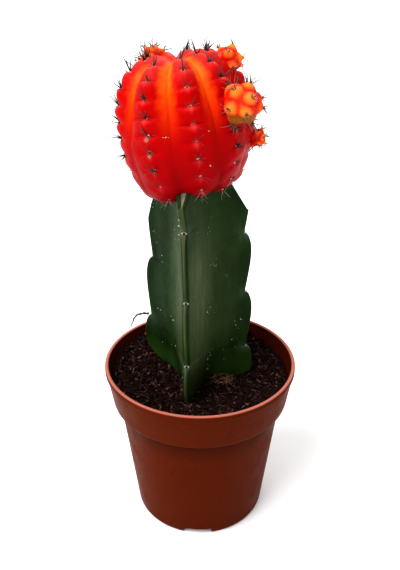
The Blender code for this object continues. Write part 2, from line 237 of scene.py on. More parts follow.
class Parts:
    """The points, faces and per-point marks of one piece, added part by part."""

    def __init__(self, *marks):
        self.points = []
        self.faces = []
        self.marks = {mark: [] for mark in marks}
        self.count = 0

    def add(self, points, faces, **marks):
        """Adds a part, with a value or one value per point for each of the marks."""
        points = np.asarray(points, float).reshape(-1, 3)
        self.points.append(points)
        self.faces.extend([tuple(int(i) + self.count for i in face) for face in faces])
        for mark, values in self.marks.items():
            values.append(np.broadcast_to(marks[mark], len(points)))
        self.count += len(points)

    def piece(self, name, finish, slot, *nodes):
        """Makes the object, which rides on the root and stands for the CAD nodes."""
        mesh = bpy.data.meshes.new(name)
        mesh.from_pydata(np.concatenate(self.points), [], self.faces)
        for mark, values in self.marks.items():
            made = mesh.attributes.new(mark, "FLOAT", "POINT")
            made.data.foreach_set("value", np.concatenate(values).astype(np.float32))
        mesh.validate()
        mesh.shade_smooth()
        mesh.materials.append(finish)
        obj = bpy.data.objects.new(name, mesh)
        bpy.context.scene.collection.objects.link(obj)
        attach(obj, "root")
        if nodes:
            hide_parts(*nodes)
        return obj


def tube(path, radii, sides):
    """Points and faces of a closed tube along a path, with a radius at each point."""
    path = np.asarray(path, float)
    along = np.gradient(path, axis=0)
    along /= np.linalg.norm(along, axis=1, keepdims=True)
    helper = np.array((0.0, 0.0, 1.0)) if abs(along[0][2]) < 0.8 else np.array((1.0, 0.0, 0.0))
    side = np.cross(along, helper)
    side /= np.linalg.norm(side, axis=1, keepdims=True)
    up = np.cross(side, along)
    turn = 2 * np.pi * np.arange(sides) / sides
    ring = np.cos(turn)[None, :, None] * side[:, None] + np.sin(turn)[None, :, None] * up[:, None]
    points = path[:, None] + ring * np.asarray(radii)[:, None, None]
    return points.reshape(-1, 3), capped_faces(len(path), sides)


SPINE_STEPS = 5
SPINE_SIDES = 5


def curved_spine(root, way, length, radius, sag):
    """A tapered tube that leaves its root along a way and bends by a sag."""
    along = np.linspace(0.0, 1.0, SPINE_STEPS)
    path = np.array(root) + np.outer(along * length, way) + np.outer(along**2 * length, sag)
    radii = radius * (1 - 0.85 * along**1.5)
    points, faces = tube(path, radii, SPINE_SIDES)
    return points, faces, np.repeat(along, SPINE_SIDES)


# ---- materials -------------------------------------------------------------


class Finish:
    """A material under construction, with short calls for its shader nodes."""

    def __init__(self, name, roughness=0.5):
        self.material = bpy.data.materials.new(name)
        self.material.use_nodes = True
        self.tree = self.material.node_tree
        self.shader = self.tree.nodes["Principled BSDF"]
        self.shader.inputs["Roughness"].default_value = roughness
        self.place = self.tree.nodes.new("ShaderNodeTexCoord").outputs["Object"]

    def feed(self, socket, value):
        """Gives a socket a node's output, a constant, a hex colour or a mesh's mark."""
        if isinstance(value, str):
            value = colour(value) if socket.type == "RGBA" else self.mark(value)
        if isinstance(value, bpy.types.NodeSocket):
            self.tree.links.new(value, socket)
        else:
            socket.default_value = value

    def made(self, base, *layers, **sockets):
        """The material, with layers (amount, colour) over its base and other sockets."""
        for amount, shade in layers:
            base = self.mix(amount, base, shade)
        for name, value in {"Base_Color": base, **sockets}.items():
            self.feed(self.shader.inputs[name.replace("_", " ")], value)
        return self.material

    def mark(self, name):
        """A value that the mesh carries at each of its points."""
        node = self.tree.nodes.new("ShaderNodeAttribute")
        node.attribute_name = name
        return node.outputs["Fac"]

    def stretched(self, scales):
        """Places on the mesh, scaled along each axis."""
        node = self.tree.nodes.new("ShaderNodeMapping")
        node.inputs["Scale"].default_value = scales
        self.feed(node.inputs["Vector"], self.place)
        return node.outputs["Vector"]

    def noise(self, size, detail=4.0, roughness=0.55, stretch=None, distortion=0.0):
        """Cloudy noise from 0 to 1, with features of this size in metres."""
        node = self.tree.nodes.new("ShaderNodeTexNoise")
        node.inputs["Scale"].default_value = 1 / size
        node.inputs["Detail"].default_value = detail
        node.inputs["Roughness"].default_value = roughness
        node.inputs["Distortion"].default_value = distortion
        self.feed(node.inputs["Vector"], self.stretched(stretch) if stretch else self.place)
        return node.outputs["Fac"]

    def span(self, value, low, high, start=0.0, end=1.0):
        """Maps a value from low..high to start..end, smoothly and clamped."""
        node = self.tree.nodes.new("ShaderNodeMapRange")
        node.interpolation_type = "SMOOTHSTEP"
        for name, setting in (
            ("Value", value),
            ("From Min", low),
            ("From Max", high),
            ("To Min", start),
            ("To Max", end),
        ):
            self.feed(node.inputs[name], setting)
        return node.outputs["Result"]

    def combined(self, operation, first, second):
        """Two values added or multiplied."""
        node = self.tree.nodes.new("ShaderNodeMath")
        node.operation = operation
        self.feed(node.inputs[0], first)
        self.feed(node.inputs[1], second)
        return node.outputs["Value"]

    def mix(self, amount, first, second):
        """Blends two colours."""
        node = self.tree.nodes.new("ShaderNodeMix")
        node.data_type = "RGBA"
        self.feed(node.inputs["Factor"], amount)
        self.feed(node.inputs[6], first)
        self.feed(node.inputs[7], second)
        return node.outputs[2]

    def bump(self, height, depth, strength=1.0, under=None):
        """Relief of this depth in metres, on top of another relief if one is given."""
        node = self.tree.nodes.new("ShaderNodeBump")
        node.inputs["Distance"].default_value = depth
        node.inputs["Strength"].default_value = strength
        self.feed(node.inputs["Height"], height)
        if under:
            self.feed(node.inputs["Normal"], under)
        return node.outputs["Normal"]


def colour(code):
    """A linear colour from an sRGB hex code."""
    values = [int(code[i : i + 2], 16) / 255 for i in (0, 2, 4)]
    linear = [v / 12.92 if v <= 0.04045 else ((v + 0.055) / 1.055) ** 2.4 for v in values]
    return (*linear, 1.0)


def pot_finish():
    """Moulded terracotta-coloured plastic, satin, with scuffs, a rubbed lip with a painted
    highlight and painted shade under the band.
    """
    look = Finish("pot_plastic")
    scuffs = look.noise(0.0045, 5, 0.7, (1.0, 1.0, 0.45), 0.8)
    texture = look.bump(look.noise(0.0006, 2), 0.00002)
    return look.made(
        look.mix(look.noise(0.012, 3), "562006", "5E2508"),
        (look.span(look.noise(0.0012, 3), 0.45, 0.75, 0.0, 0.25), "6C2E16"),
        (look.span(scuffs, 0.60, 0.72, 0.0, 0.35), "4A0E04"),
        # painted shade on the ledge under the band
        ("shade", "2C0B03"),
        # the lip: rubbed paler, and a painted highlight
        ("lip", "CF8A7C"),
        Roughness=look.span(look.noise(0.006, 4), 0.3, 0.7, 0.36, 0.50),
        Normal=look.bump(look.noise(0.012, 2), 0.0001, 0.3, texture),
        Specular_IOR_Level=0.035,
    )


def peat_finish():
    """Damp fibrous peat, nearly black, with red-brown and tan flecks."""
    look = Finish("peat", 0.9)
    flecks = look.noise(0.0006, 4, 0.75, (1.0, 1.0, 2.0))
    return look.made(
        look.mix(look.noise(0.0009, 5, 0.7), "120A0B", "35201F"),
        (look.span(flecks, 0.56, 0.72, 0.0, 0.6), "6E4A44"),
        ("tone", "8A6656"),
        Normal=look.bump(look.noise(0.0005, 5, 0.75), 0.0003, 0.8),
        Specular_IOR_Level=0.10,
    )


def fibre_finish():
    """Dry root fibres in the peat, dark brown to tan."""
    look = Finish("peat_fibre", 0.85)
    return look.made(
        look.mix("tone", "2E1C1A", "B08868"),
        (look.span(look.noise(0.0008, 3), 0.4, 0.7, 0.0, 0.5), "22120F"),
    )


def stem_finish():
    """Waxy dark green skin with a grey bloom and painted sheen, painted shade on the left wing,
    painted light at the side wings' feet, corky margins and a tan scar.
    """
    look = Finish("stem_skin")
    clouds = look.noise(0.007, 4, 0.6, (1.0, 1.0, 0.55))
    grain = look.noise(0.0012, 4, 0.65)
    streaks = look.noise(0.0016, 4, 0.6, (1.0, 1.0, 0.12))
    return look.made(
        look.mix(look.span(clouds, 0.3, 0.7), "1A2C0E", "264019"),
        (look.span(grain, 0.4, 0.75, 0.0, 0.45), "25391C"),
        # grey bloom with a painted sheen on the front wing's flanks
        (look.combined("MULTIPLY", "bloom", look.span(streaks, 0.25, 0.75, 0.60, 1.0)), "767D5C"),
        (look.combined("MULTIPLY", "dust", look.span(clouds, 0.35, 0.65, 0.2, 1.0)), "6C7F78"),
        # painted shade over the left wing
        ("deep", "081503"),
        # painted light at the foot of the side wings
        ("fresh", "4A6B2E"),
        ("cork", "6B6E50"),
        ("line", "3A2E20"),
        ("scar", look.mix(look.span(streaks, 0.3, 0.7), "6E6454", "8F8674")),
        Roughness=look.span(grain, 0.3, 0.8, 0.42, 0.58),
        Normal=look.bump(clouds, 0.0004, 0.5, look.bump(grain, 0.00008, 0.7)),
        Specular_IOR_Level=0.08,
    )


def globe_finish():
    """Red flesh, orange in the upper grooves, faintly translucent; crimson below, partly pigment
    and partly painted shade, with painted shade in the groove creases and painted highlights
    above.
    """
    look = Finish("globe_skin", 0.38)
    mottle = look.noise(0.0030, 4, 0.6)
    grain = look.noise(0.0006, 3, 0.6)
    # Darker towards the bottom: partly crimson pigment, partly painted shade.
    low = look.span("down", 0.30, 0.86)
    orange = look.mix(look.span("down", 0.14, 0.40), "FC8424", "F4560C")
    groove = look.mix(look.span("down", 0.26, 0.56), orange, "B40805")
    amount = look.combined("ADD", "groove", look.span(mottle, 0.2, 0.8, -0.12, 0.12))
    return look.made(
        look.mix(low, "B20204", "96000C"),
        (look.span(amount, 0.40, 0.94), look.mix(low, groove, "80000A")),
        (look.span(mottle, 0.5, 0.8, 0.0, 0.25), "9C000E"),
        # painted shade under the globe
        (look.span("down", 0.74, 0.84, 0.0, 0.5), "62000A"),
        # painted shade along the crease of each upper groove
        ("crease", "A81804"),
        # painted highlights on the crown, the chins and round the areoles, with a pale streak
        # under each areole
        ("pale", look.mix(low, "F4605A", "B83848")),
        (look.combined("MULTIPLY", "dry", look.span(mottle, 0.35, 0.65, 0.3, 1.0)), "7C4A38"),
        ("scab", look.mix(look.noise(0.0009, 4, 0.7), "4A1210", "C89C80")),
        Normal=look.bump(mottle, 0.0002, 0.5, look.bump(grain, 0.00005, 0.6)),
        Subsurface_Weight=0.08,
        Subsurface_Radius=(0.0030, 0.0008, 0.0004),
        Subsurface_Scale=1.0,
        Specular_IOR_Level=0.05,
    )


def offset_finish():
    """Young flesh, yellow-orange with redder bases and pale tubercle tips."""
    look = Finish("offset_skin", 0.38)
    return look.made(
        look.mix("tip", "D8400E", "F08A34"),
        ("red", "CC1A10"),
        (look.span(look.noise(0.0016, 4, 0.6), 0.5, 0.8, 0.0, 0.3), "F4A458"),
        ("olive", "8A5A1C"),
        Normal=look.bump(look.noise(0.0005, 3), 0.00005, 0.6),
        Subsurface_Weight=0.12,
        Subsurface_Radius=(0.0030, 0.0012, 0.0005),
        Subsurface_Scale=1.0,
        Specular_IOR_Level=0.14,
    )


def spine_finish(name, root, tip):
    """Dry horny spines, darker towards one end."""
    look = Finish(name, 0.55)
    grain = look.span(look.noise(0.0004, 3), 0.4, 0.7, 0.0, 0.35)
    return look.made(look.mix("along", root, tip), (grain, "1A1210"))


def wool_finish(name, pale, dark):
    """Short felt, with a dark centre where the spines come out."""
    look = Finish(name, 0.95)
    hairs = look.noise(0.00025, 3, 0.7)
    base = look.mix(look.span(hairs, 0.3, 0.7, 0.0, 0.45), pale, dark)
    return look.made(base, ("centre", "241512"), Normal=look.bump(hairs, 0.0002, 0.8))


def speck_finish(name):
    """Pale dry specks of lime and cork on the skin."""
    look = Finish(name, 0.9)
    return look.made(look.mix(look.noise(0.0004), "8F927C", "D9D8C4"))


def root_finish():
    """The dried skin of the aerial root, grey-brown."""
    look = Finish("dry_root", 0.8)
    return look.made(look.mix(look.noise(0.0005, 4, 0.7), "201C1A", "60584F"))


# ---- pot -------------------------------------------------------------------


CORNER_STEPS = 5


def rounded(profile):
    """A profile (radius, height, corner radius) with an arc in place of each corner."""
    points = []
    for index, (radius, height, corner) in enumerate(profile):
        here = np.array((radius, height))
        if corner == 0 or index in (0, len(profile) - 1):
            points.append(here)
            continue
        before = np.array(profile[index - 1][:2]) - here
        after = np.array(profile[index + 1][:2]) - here
        reach = min(corner, np.linalg.norm(before) / 2.1, np.linalg.norm(after) / 2.1)
        start = here + before / np.linalg.norm(before) * reach
        end = here + after / np.linalg.norm(after) * reach
        for t in np.linspace(0.0, 1.0, CORNER_STEPS):
            points.append((1 - t) ** 2 * start + 2 * t * (1 - t) * here + t**2 * end)
    return np.array(points)


def body_radius(height):
    """Outer radius of the pot's body at a height below the band."""
    return FOOT_RADIUS + (BODY_TOP_RADIUS - FOOT_RADIUS) * height / BAND_BOTTOM_HEIGHT


def pot_profile():
    """Up the inside from the floor, over the lip, down the outside and under."""
    floor_edge = body_radius(FLOOR_TOP) - WALL
    lip_inside = LIP_RADIUS - LIP_WIDTH
    ring_inside = FOOT_RADIUS - FOOT_RING_WIDTH
    return rounded(
        (
            (0.0, FLOOR_TOP, 0),
            (floor_edge, FLOOR_TOP, 0.0015),
            (BODY_TOP_RADIUS - WALL, BAND_BOTTOM_HEIGHT - WALL, 0.0010),
            (BAND_BOTTOM_RADIUS - 1.2 * WALL, BAND_BOTTOM_HEIGHT + WALL / 2, 0.0010),
            (lip_inside, POT_HEIGHT - 0.6 * LIP_DEPTH, 0.0008),
            (lip_inside, POT_HEIGHT, 0.0006),
            (LIP_RADIUS, POT_HEIGHT, 0.0006),
            (LIP_RADIUS, POT_HEIGHT - LIP_DEPTH, 0.0007),
            (BAND_BOTTOM_RADIUS + 0.8 * (LIP_RADIUS - BAND_BOTTOM_RADIUS),
             POT_HEIGHT - 1.15 * LIP_DEPTH, 0.0007),
            (BAND_BOTTOM_RADIUS, BAND_BOTTOM_HEIGHT, 0.0012),
            (BODY_TOP_RADIUS, BAND_BOTTOM_HEIGHT - 0.0010, 0.0008),
            *((body_radius(height), height, 0) for height in BODY_ROWS),
            (FOOT_RADIUS, 0.0, 0.0010),
            (ring_inside, 0.0, 0.0006),
            (ring_inside - 0.0003, FLOOR_UNDERSIDE, 0.0004),
            (0.0, FLOOR_UNDERSIDE, 0),
        )
    )


def turned_points(profile, steps):
    """The points of a profile (radius, height), turned round the pot's axis."""
    turn = 2 * np.pi * np.arange(steps) / steps
    radius, height = profile[:, 0][:, None], profile[:, 1][:, None]
    return np.stack(
        (np.sin(turn) * radius, -np.cos(turn) * radius, height + 0 * turn), -1
    )


# How pale the lip is, rubbed and with a painted highlight, and how dark the
# painted shade on the ledge under the band, with the distance of that shade
# below the band's edge and its spread.
LIP_RUB_AND_HIGHLIGHT = 0.66
BAND_PAINTED_SHADE = 0.62
SHADE_DROP = 0.0012
SHADE_SPREAD = 0.0011
# The first drain hole's azimuth, the holes' smoothness and each one's own turn.
DRAIN_AZIMUTH = 0.01
DRAIN_SIDES = 32
DRAIN_TURN = 0.1


def peg(centre, radius, bottom, top):
    """Points and faces of an upright closed prism."""
    angles = DRAIN_TURN + 2 * np.pi * np.arange(DRAIN_SIDES) / DRAIN_SIDES
    ring = np.stack((np.cos(angles), np.sin(angles), 0 * angles), -1) * radius
    lower = ring + np.array((centre.x, centre.y, bottom))
    upper = ring + np.array((centre.x, centre.y, top))
    return np.concatenate((lower, upper)), capped_faces(2, DRAIN_SIDES)


def block(azimuth, middle, length, width, bottom, top):
    """Points and faces of a box that lies across a radius."""
    out, side = heading(azimuth), heading(azimuth + math.pi / 2)
    corners = []
    for height in (bottom, top):
        for a, b in SQUARE:
            spot = out * (middle + a * length / 2) + side * (b * width / 2)
            corners.append((spot.x, spot.y, height))
    faces = [(3, 2, 1, 0), (4, 5, 6, 7), (0, 1, 5, 4), (1, 2, 6, 5), (2, 3, 7, 6), (3, 0, 4, 7)]
    return np.array(corners), faces


def drainage_cutter():
    """One body of pegs and blocks that cuts the drain holes and the foot notches."""
    parts = Parts()
    for hole in range(DRAIN_HOLES):
        centre = heading(DRAIN_AZIMUTH + 2 * math.pi * hole / DRAIN_HOLES) * DRAIN_CIRCLE_RADIUS
        parts.add(*peg(centre, DRAIN_HOLE_RADIUS, -FLOOR_TOP, 2 * FLOOR_TOP))
    for notch in range(FOOT_NOTCHES):
        azimuth = FOOT_NOTCH_AZIMUTH + 2 * math.pi * notch / FOOT_NOTCHES
        size = (3 * FOOT_RING_WIDTH, FOOT_NOTCH_WIDTH)
        parts.add(*block(azimuth, FOOT_RADIUS, *size, -FLOOR_TOP, FOOT_NOTCH_HEIGHT))
    mesh = bpy.data.meshes.new("drainage_cutter")
    mesh.from_pydata(np.concatenate(parts.points), [], parts.faces)
    tool = bpy.data.objects.new("drainage_cutter", mesh)
    bpy.context.scene.collection.objects.link(tool)
    return tool


def build_pot(finish):
    """The turned shell, with a pale rubbed lip that carries a painted highlight and painted shade
    under the band, cut for drainage.
    """
    points = turned_points(pot_profile()[1:-1], TURN_STEPS)
    flat = points.reshape(-1, 3)
    reach, height = np.hypot(flat[:, 0], flat[:, 1]), flat[:, 2]
    # The lip's top: rubbed paler, and a painted highlight.
    lip = step_up(height, POT_HEIGHT - 0.20 * LIP_DEPTH, POT_HEIGHT - 0.02 * LIP_DEPTH)
    # Painted shade on the body just under the band's ledge.
    under_band = bell(height - BAND_BOTTOM_HEIGHT + SHADE_DROP, SHADE_SPREAD)
    parts = Parts("lip", "shade")
    parts.add(
        flat,
        capped_faces(len(points), TURN_STEPS),
        lip=LIP_RUB_AND_HIGHLIGHT * lip * (reach > LIP_RADIUS - 1.1 * LIP_WIDTH),
        shade=BAND_PAINTED_SHADE * under_band * (reach < BAND_BOTTOM_RADIUS - 0.0003),
    )
    pot = parts.piece("pot_shell", finish, "pot_plastic", "pot")
    tool = drainage_cutter()
    boolean = pot.modifiers.new("drainage", "BOOLEAN")
    boolean.operation = "DIFFERENCE"
    boolean.solver = "EXACT"
    boolean.object = tool
    bpy.context.view_layer.update()
    graph = bpy.context.evaluated_depsgraph_get()
    cut = bpy.data.meshes.new_from_object(pot.evaluated_get(graph))
    pot.modifiers.clear()
    pot.data = cut
    bpy.data.objects.remove(tool)
    pot.data.set_sharp_from_angle(angle=math.radians(40))


# ---- stem ------------------------------------------------------------------


def margin_lobe(wing, height):
    """How far a wing's scalloped margin stands out of its notches, 0 to 1."""
    notch, pitch = wing["notches"]
    below_notch = ((notch - height) / pitch) % 1.0
    return math.sin(math.pi * below_notch**0.54)


def uncut_radius(wing, height):
    """Radius of a wing's margin, before its top was bevelled for the graft."""
    upper, lower = wing["radii"]
    down = (GRAFT_HEIGHT - height) / (GRAFT_HEIGHT - SOIL_LEVEL)
    margin = upper + (lower - upper) * down + NOTCH_DEPTH * margin_lobe(wing, height)
    foot_radius, foot_height, depth = wing["foot"]
    share = min(max((foot_height - height) / depth, 0.0), 1.0)
    if share > 0:
        round_reach = (foot_radius - BURIED_RADIUS) * math.sqrt(1 - share**2)
        margin = min(margin, BURIED_RADIUS + round_reach)
    return max(margin, BURIED_RADIUS)


def bevel_radius(wing, height):
    """Where the bevel at the top cuts a wing, or a radius past it lower down."""
    corner_radius, corner_height, steepness = wing["bevel"]
    if height <= corner_height:
        return 2 * corner_radius
    return corner_radius - (height - corner_height) / steepness


def from_axis(points, azimuth):
    """How far points lie from the stem's axis, along an azimuth and across it."""
    spoke = points - np.array(STEM_AXIS)
    return spoke @ np.array(heading(azimuth)), spoke @ np.array(heading(azimuth + math.pi / 2))


def valley_radius(height):
    """Distance of the valleys between the wings from the axis, less towards the foot."""
    taper = max(0.0, (FOOT_TAPER_HEIGHT - height) / (FOOT_TAPER_HEIGHT - STEM_FOOT))
    return VALLEY_RADIUS - (VALLEY_RADIUS - FOOT_CORE_RADIUS) * taper


def wing_section(wing, height):
    """Half section of a wing: (along, across, nearness to the margin)."""
    reach = uncut_radius(wing, height)
    core = valley_radius(height)
    return (
        (reach, 0.0, 1.0),
        (reach - 0.0005, min(0.0010, 0.2 * core), 0.92),
        (core + 0.62 * (reach - core), 0.24 * core, 0.62),
        (core + 0.18 * (reach - core), 0.50 * core, 0.18),
    )


def wing_azimuth(wing, height):
    """A wing's azimuth at a height: some lean to one side near the graft."""
    lean = wing.get("lean", 0.0)
    return wing["azimuth"] + lean * float(step_up(height, GRAFT_HEIGHT - 0.022, GRAFT_HEIGHT))


def wing_point(wing, height, along, across):
    """A point of a wing at its distances from the axis, drooped near the foot."""
    out = heading(wing_azimuth(wing, height))
    side = heading(wing_azimuth(wing, height) + math.pi / 2)
    near_foot = max(0.0, 1 - abs(height - SOIL_LEVEL) / DROOP_SPAN)
    droop = wing["droop"] * near_foot * (along / wing["foot"][0]) ** 2
    return STEM_AXIS + out * along + side * across + Vector((0, 0, height - droop))


def stem_ring(height):
    """Control points (x, y, z, nearness to a margin) round the stem at one height."""
    ring = []
    for index, wing in enumerate(WINGS):
        following = WINGS[(index + 1) % len(WINGS)]
        for along, across, margin in wing_section(wing, height):
            ring.append((*wing_point(wing, height, along, across), margin))
        between = (following["azimuth"] - wing["azimuth"]) % (2 * math.pi)
        out = heading(wing["azimuth"] + between / 2)
        valley = STEM_AXIS + out * valley_radius(height) + Vector((0, 0, height))
        ring.append((*valley, 0.0))
        for along, across, margin in wing_section(following, height)[:0:-1]:
            ring.append((*wing_point(following, height, along, -across), margin))
    return np.array(ring)


def smooth_closed(points, steps):
    """A closed Catmull-Rom curve through the points, with steps along each span."""
    before, after, beyond = (np.roll(points, shift, 0) for shift in (1, -1, -2))
    spans = []
    for t in np.arange(steps) / steps:
        spans.append(
            0.5 * (2 * points + (after - before) * t
                   + (2 * before - 5 * points + 4 * after - beyond) * t**2
                   + (3 * points - before - 3 * after + beyond) * t**3)
        )
    return np.stack(spans, 1).reshape(-1, points.shape[1])


# The skin's fineness up the stem and along a section. How much narrower a wing is
# past its bevel, and half the width of the pale scar down the bevel's middle.
STEM_ROWS = 340
SECTION_STEPS = 9
BEVEL_NARROWING = 0.45
SCAR_HALF_WIDTH = 0.0010
# Grey bloom and painted sheen on the front wing: how strong on its left and
# right flanks, and the distance from the stem's axis where it is thickest, with
# its spread on each.
FLANK_BLOOM_AND_SHEEN = (0.27, 0.44)
BLOOM_AND_SHEEN_REACH = 0.0124
BLOOM_AND_SHEEN_SPREADS = (0.0048, 0.0090)


def stem_rows():
    """The skin's points and marks, row by row, with the bevels cut flat."""
    rows = []
    for height in np.linspace(STEM_FOOT, GRAFT_HEIGHT, STEM_ROWS):
        ring = smooth_closed(stem_ring(height), SECTION_STEPS)
        scar = np.zeros(len(ring))
        for wing in WINGS:
            azimuth = wing_azimuth(wing, height)
            out, side = np.array(heading(azimuth)), np.array(heading(azimuth + math.pi / 2))
            along, across = from_axis(ring[:, :3], azimuth)
            over = along - bevel_radius(wing, height)
            past = np.maximum(over, 0.0)
            narrowing = BEVEL_NARROWING * step_up(over, 0.0, 0.0004) * across
            ring[:, :3] -= past[:, None] * out + narrowing[:, None] * side
            rise = (height - wing["bevel"][1]) / (GRAFT_HEIGHT - wing["bevel"][1])
            half_width = SCAR_HALF_WIDTH * min(max(rise, 0.0) ** 0.6, 1.0) + 0.00001
            off_centre = np.abs(from_axis(ring[:, :3], azimuth)[1])
            strip = 1 - step_up(off_centre / half_width, 0.8, 1.2)
            scar = np.maximum(scar, step_up(over, -0.0002, 0.0002) * strip)
        rows.append(np.column_stack((ring, scar)))
    return np.array(rows)


def cork_mark(points, margin):
    """The corky line that runs down each margin below an areole."""
    mark = np.zeros(len(points))
    for wing in WINGS:
        along, across = from_axis(points, wing["azimuth"])
        notch, pitch = wing["notches"]
        below = ((notch - points[:, 2]) / pitch) % 1.0
        line = step_up(margin, 0.965, 0.992) * (0.45 + 0.55 * (1 - step_up(below, 0.40, 0.98)))
        if wing is WINGS[0]:
            line = line * (1 - step_up(across, 0.0, 0.00025))
        mark = np.maximum(mark, line * (along > VALLEY_RADIUS))
    return mark


def bloom_mark(points, margin):
    """Grey bloom and a painted sheen on the front wing's flanks, thickest half way out to the
    margin.
    """
    height = points[:, 2]
    rising = step_up(height, SOIL_LEVEL, SOIL_LEVEL + 0.022)
    fading = 1 - step_up(height, GRAFT_HEIGHT - 0.030, GRAFT_HEIGHT - 0.006)
    along, across = from_axis(points, WINGS[0]["azimuth"])
    on_right = step_up(across, -0.0005, 0.0005)
    amount = FLANK_BLOOM_AND_SHEEN[0] + (FLANK_BLOOM_AND_SHEEN[1] - FLANK_BLOOM_AND_SHEEN[0]) * on_right
    spread = BLOOM_AND_SHEEN_SPREADS[0] + (BLOOM_AND_SHEEN_SPREADS[1] - BLOOM_AND_SHEEN_SPREADS[0]) * on_right
    middle = bell(along - BLOOM_AND_SHEEN_REACH, spread) * (1 - step_up(margin, 0.86, 0.95))
    return amount * middle * (0.30 + 0.70 * rising) * (0.20 + 0.80 * fading)


# How dusty the skin is round an areole, and how far that reaches each way.
AREOLE_DUST = 0.34
DUST_SIZE = (0.0030, 0.0030, 0.0022)


def dust_mark(points):
    """Bluish dust on the skin round each areole."""
    mark = np.zeros(len(points))
    for place, _ in stem_areoles():
        away = np.linalg.norm((points - np.array(place)) / DUST_SIZE, axis=1)
        mark = np.maximum(mark, AREOLE_DUST * bell(away, 1.0))
    return mark


# The wing at the left, and how strongly painted shade darkens it.
SHADED_WING = 2
WING_PAINTED_SHADE = 0.42


def deep_mark(points):
    """Painted shade on the left wing, darker out towards its margin."""
    along = from_axis(points, WINGS[SHADED_WING]["azimuth"])[0]
    return WING_PAINTED_SHADE * step_up(along, 0.5 * VALLEY_RADIUS, 1.6 * VALLEY_RADIUS)


# The two side wings, and how strongly painted light brightens their lowest lobes by the peat,
# over these heights.
LIT_FOOT_WINGS = (1, 2)
FOOT_PAINTED_LIGHT = 0.45
LIT_FOOT_HEIGHTS = (SOIL_LEVEL + 0.0050, SOIL_LEVEL + 0.0150)


def fresh_mark(points):
    """Painted light, a brighter green, at the foot of the side wings."""
    low = 1 - step_up(points[:, 2], *LIT_FOOT_HEIGHTS)
    mark = np.zeros(len(points))
    for index in LIT_FOOT_WINGS:
        along = from_axis(points, WINGS[index]["azimuth"])[0]
        outer = step_up(along, 0.3 * VALLEY_RADIUS, VALLEY_RADIUS)
        mark = np.maximum(mark, FOOT_PAINTED_LIGHT * low * outer)
    return mark


# How corky the margins are, and how strong the thin dark line down each is.
MARGIN_CORK = 0.55
MARGIN_LINE = 0.5


def build_stem(finish):
    """The three-winged skin, with its bloom and painted sheen, dust, painted shade and painted
    light, cork and graft scar.
    """
    rows = stem_rows()
    count, around = rows.shape[:2]
    flat = rows.reshape(-1, 5)
    points, margin, scar = flat[:, :3], flat[:, 3], flat[:, 4]
    cork = cork_mark(points, margin) * (1 - scar)
    parts = Parts("bloom", "dust", "deep", "fresh", "cork", "line", "scar")
    parts.add(
        points,
        capped_faces(count, around),
        bloom=bloom_mark(points, margin),
        dust=dust_mark(points),
        deep=deep_mark(points),
        fresh=fresh_mark(points),
        cork=MARGIN_CORK * cork,
        line=MARGIN_LINE * cork * step_up(margin, 0.9985, 1.0),
        scar=scar,
    )
    parts.piece("stem_skin", finish, "stem_skin", "rootstock")


# ---- peat ------------------------------------------------------------------


# The surface's fineness, and its edge, which almost meets the pot's wall.
PEAT_RINGS = 140
PEAT_COLUMNS = 440
PEAT_EDGE = SOIL_RADIUS + 0.0013
# Coarse and fine crumbling of the surface: height, size and seed.
CRUMBLING = ((0.0007, 0.0045, 1.0), (0.0009, 0.0016, 5.0))


def soil_height(x, y):
    """The dished surface of the peat, without its crumbs."""
    reach = np.hypot(x, y) / SOIL_RADIUS
    back_left = (y - x) / BAND_BOTTOM_RADIUS
    height = SOIL_LEVEL + SOIL_WALL_RISE * reach**4 + SOIL_TILT * reach * back_left
    for (middle_x, middle_y), rise, radius in SOIL_MOUNDS:
        height = height + rise * bell(np.hypot(x - middle_x, y - middle_y), radius)
    return height


def peat_surface(points):
    """Height of the peat at each point, with its coarse and fine crumbling."""
    x, y = points[:, 0], points[:, 1]
    flat = np.stack((x, y, 0 * x), -1)
    return soil_height(x, y) + sum(
        rise * fractal(flat, size, 3, seed) for rise, size, seed in CRUMBLING
    )


def build_peat(finish):
    """A closed body: the crumbled surface, the wall inside the pot and a floor."""
    reach = PEAT_EDGE * np.linspace(0.004, 1.0, PEAT_RINGS) ** 0.8
    turn = 2 * np.pi * np.arange(PEAT_COLUMNS) / PEAT_COLUMNS
    x = np.outer(reach, np.sin(turn)).ravel()
    y = -np.outer(reach, np.cos(turn)).ravel()
    top = np.stack((x, y, 0 * x), -1)
    top[:, 2] = peat_surface(top)
    wall = ((SOIL_RADIUS, BAND_BOTTOM_HEIGHT + 0.0008),
            (BODY_TOP_RADIUS - 1.4 * WALL, BAND_BOTTOM_HEIGHT - 0.0010),
            (body_radius(FLOOR_TOP) - 1.4 * WALL, SOIL_LOW.z))
    under = turned_points(np.array(wall), PEAT_COLUMNS).reshape(-1, 3)
    faces = capped_faces(PEAT_RINGS + len(wall), PEAT_COLUMNS, flipped=True)
    parts = Parts("tone")
    parts.add(np.concatenate((top, under)), faces, tone=0.0)
    parts.piece("peat_bed", finish, "peat", "soil")


def in_stem(x, y):
    """Whether a spot of the peat's surface is under one of the wings."""
    for wing in WINGS:
        out, side = heading(wing["azimuth"]), heading(wing["azimuth"] + math.pi / 2)
        spot = Vector((x, y, 0)) - STEM_AXIS
        along, across = spot.dot(out), abs(spot.dot(side))
        height = soil_height(x, y)
        if -0.001 < along < uncut_radius(wing, height) and across < 0.0016:
            return True
    return (Vector((x, y, 0)) - STEM_AXIS).length < 0.6 * VALLEY_RADIUS


def peat_spots(rng, count):
    """Random spots all over the peat's surface, clear of the stem."""
    spots = []
    while len(spots) < count:
        reach = PEAT_EDGE * 0.985 * math.sqrt(rng.random())
        way = heading(rng.uniform(0, 2 * math.pi)) * reach
        if not in_stem(way.x, way.y):
            spots.append((way.x, way.y))
    return spots


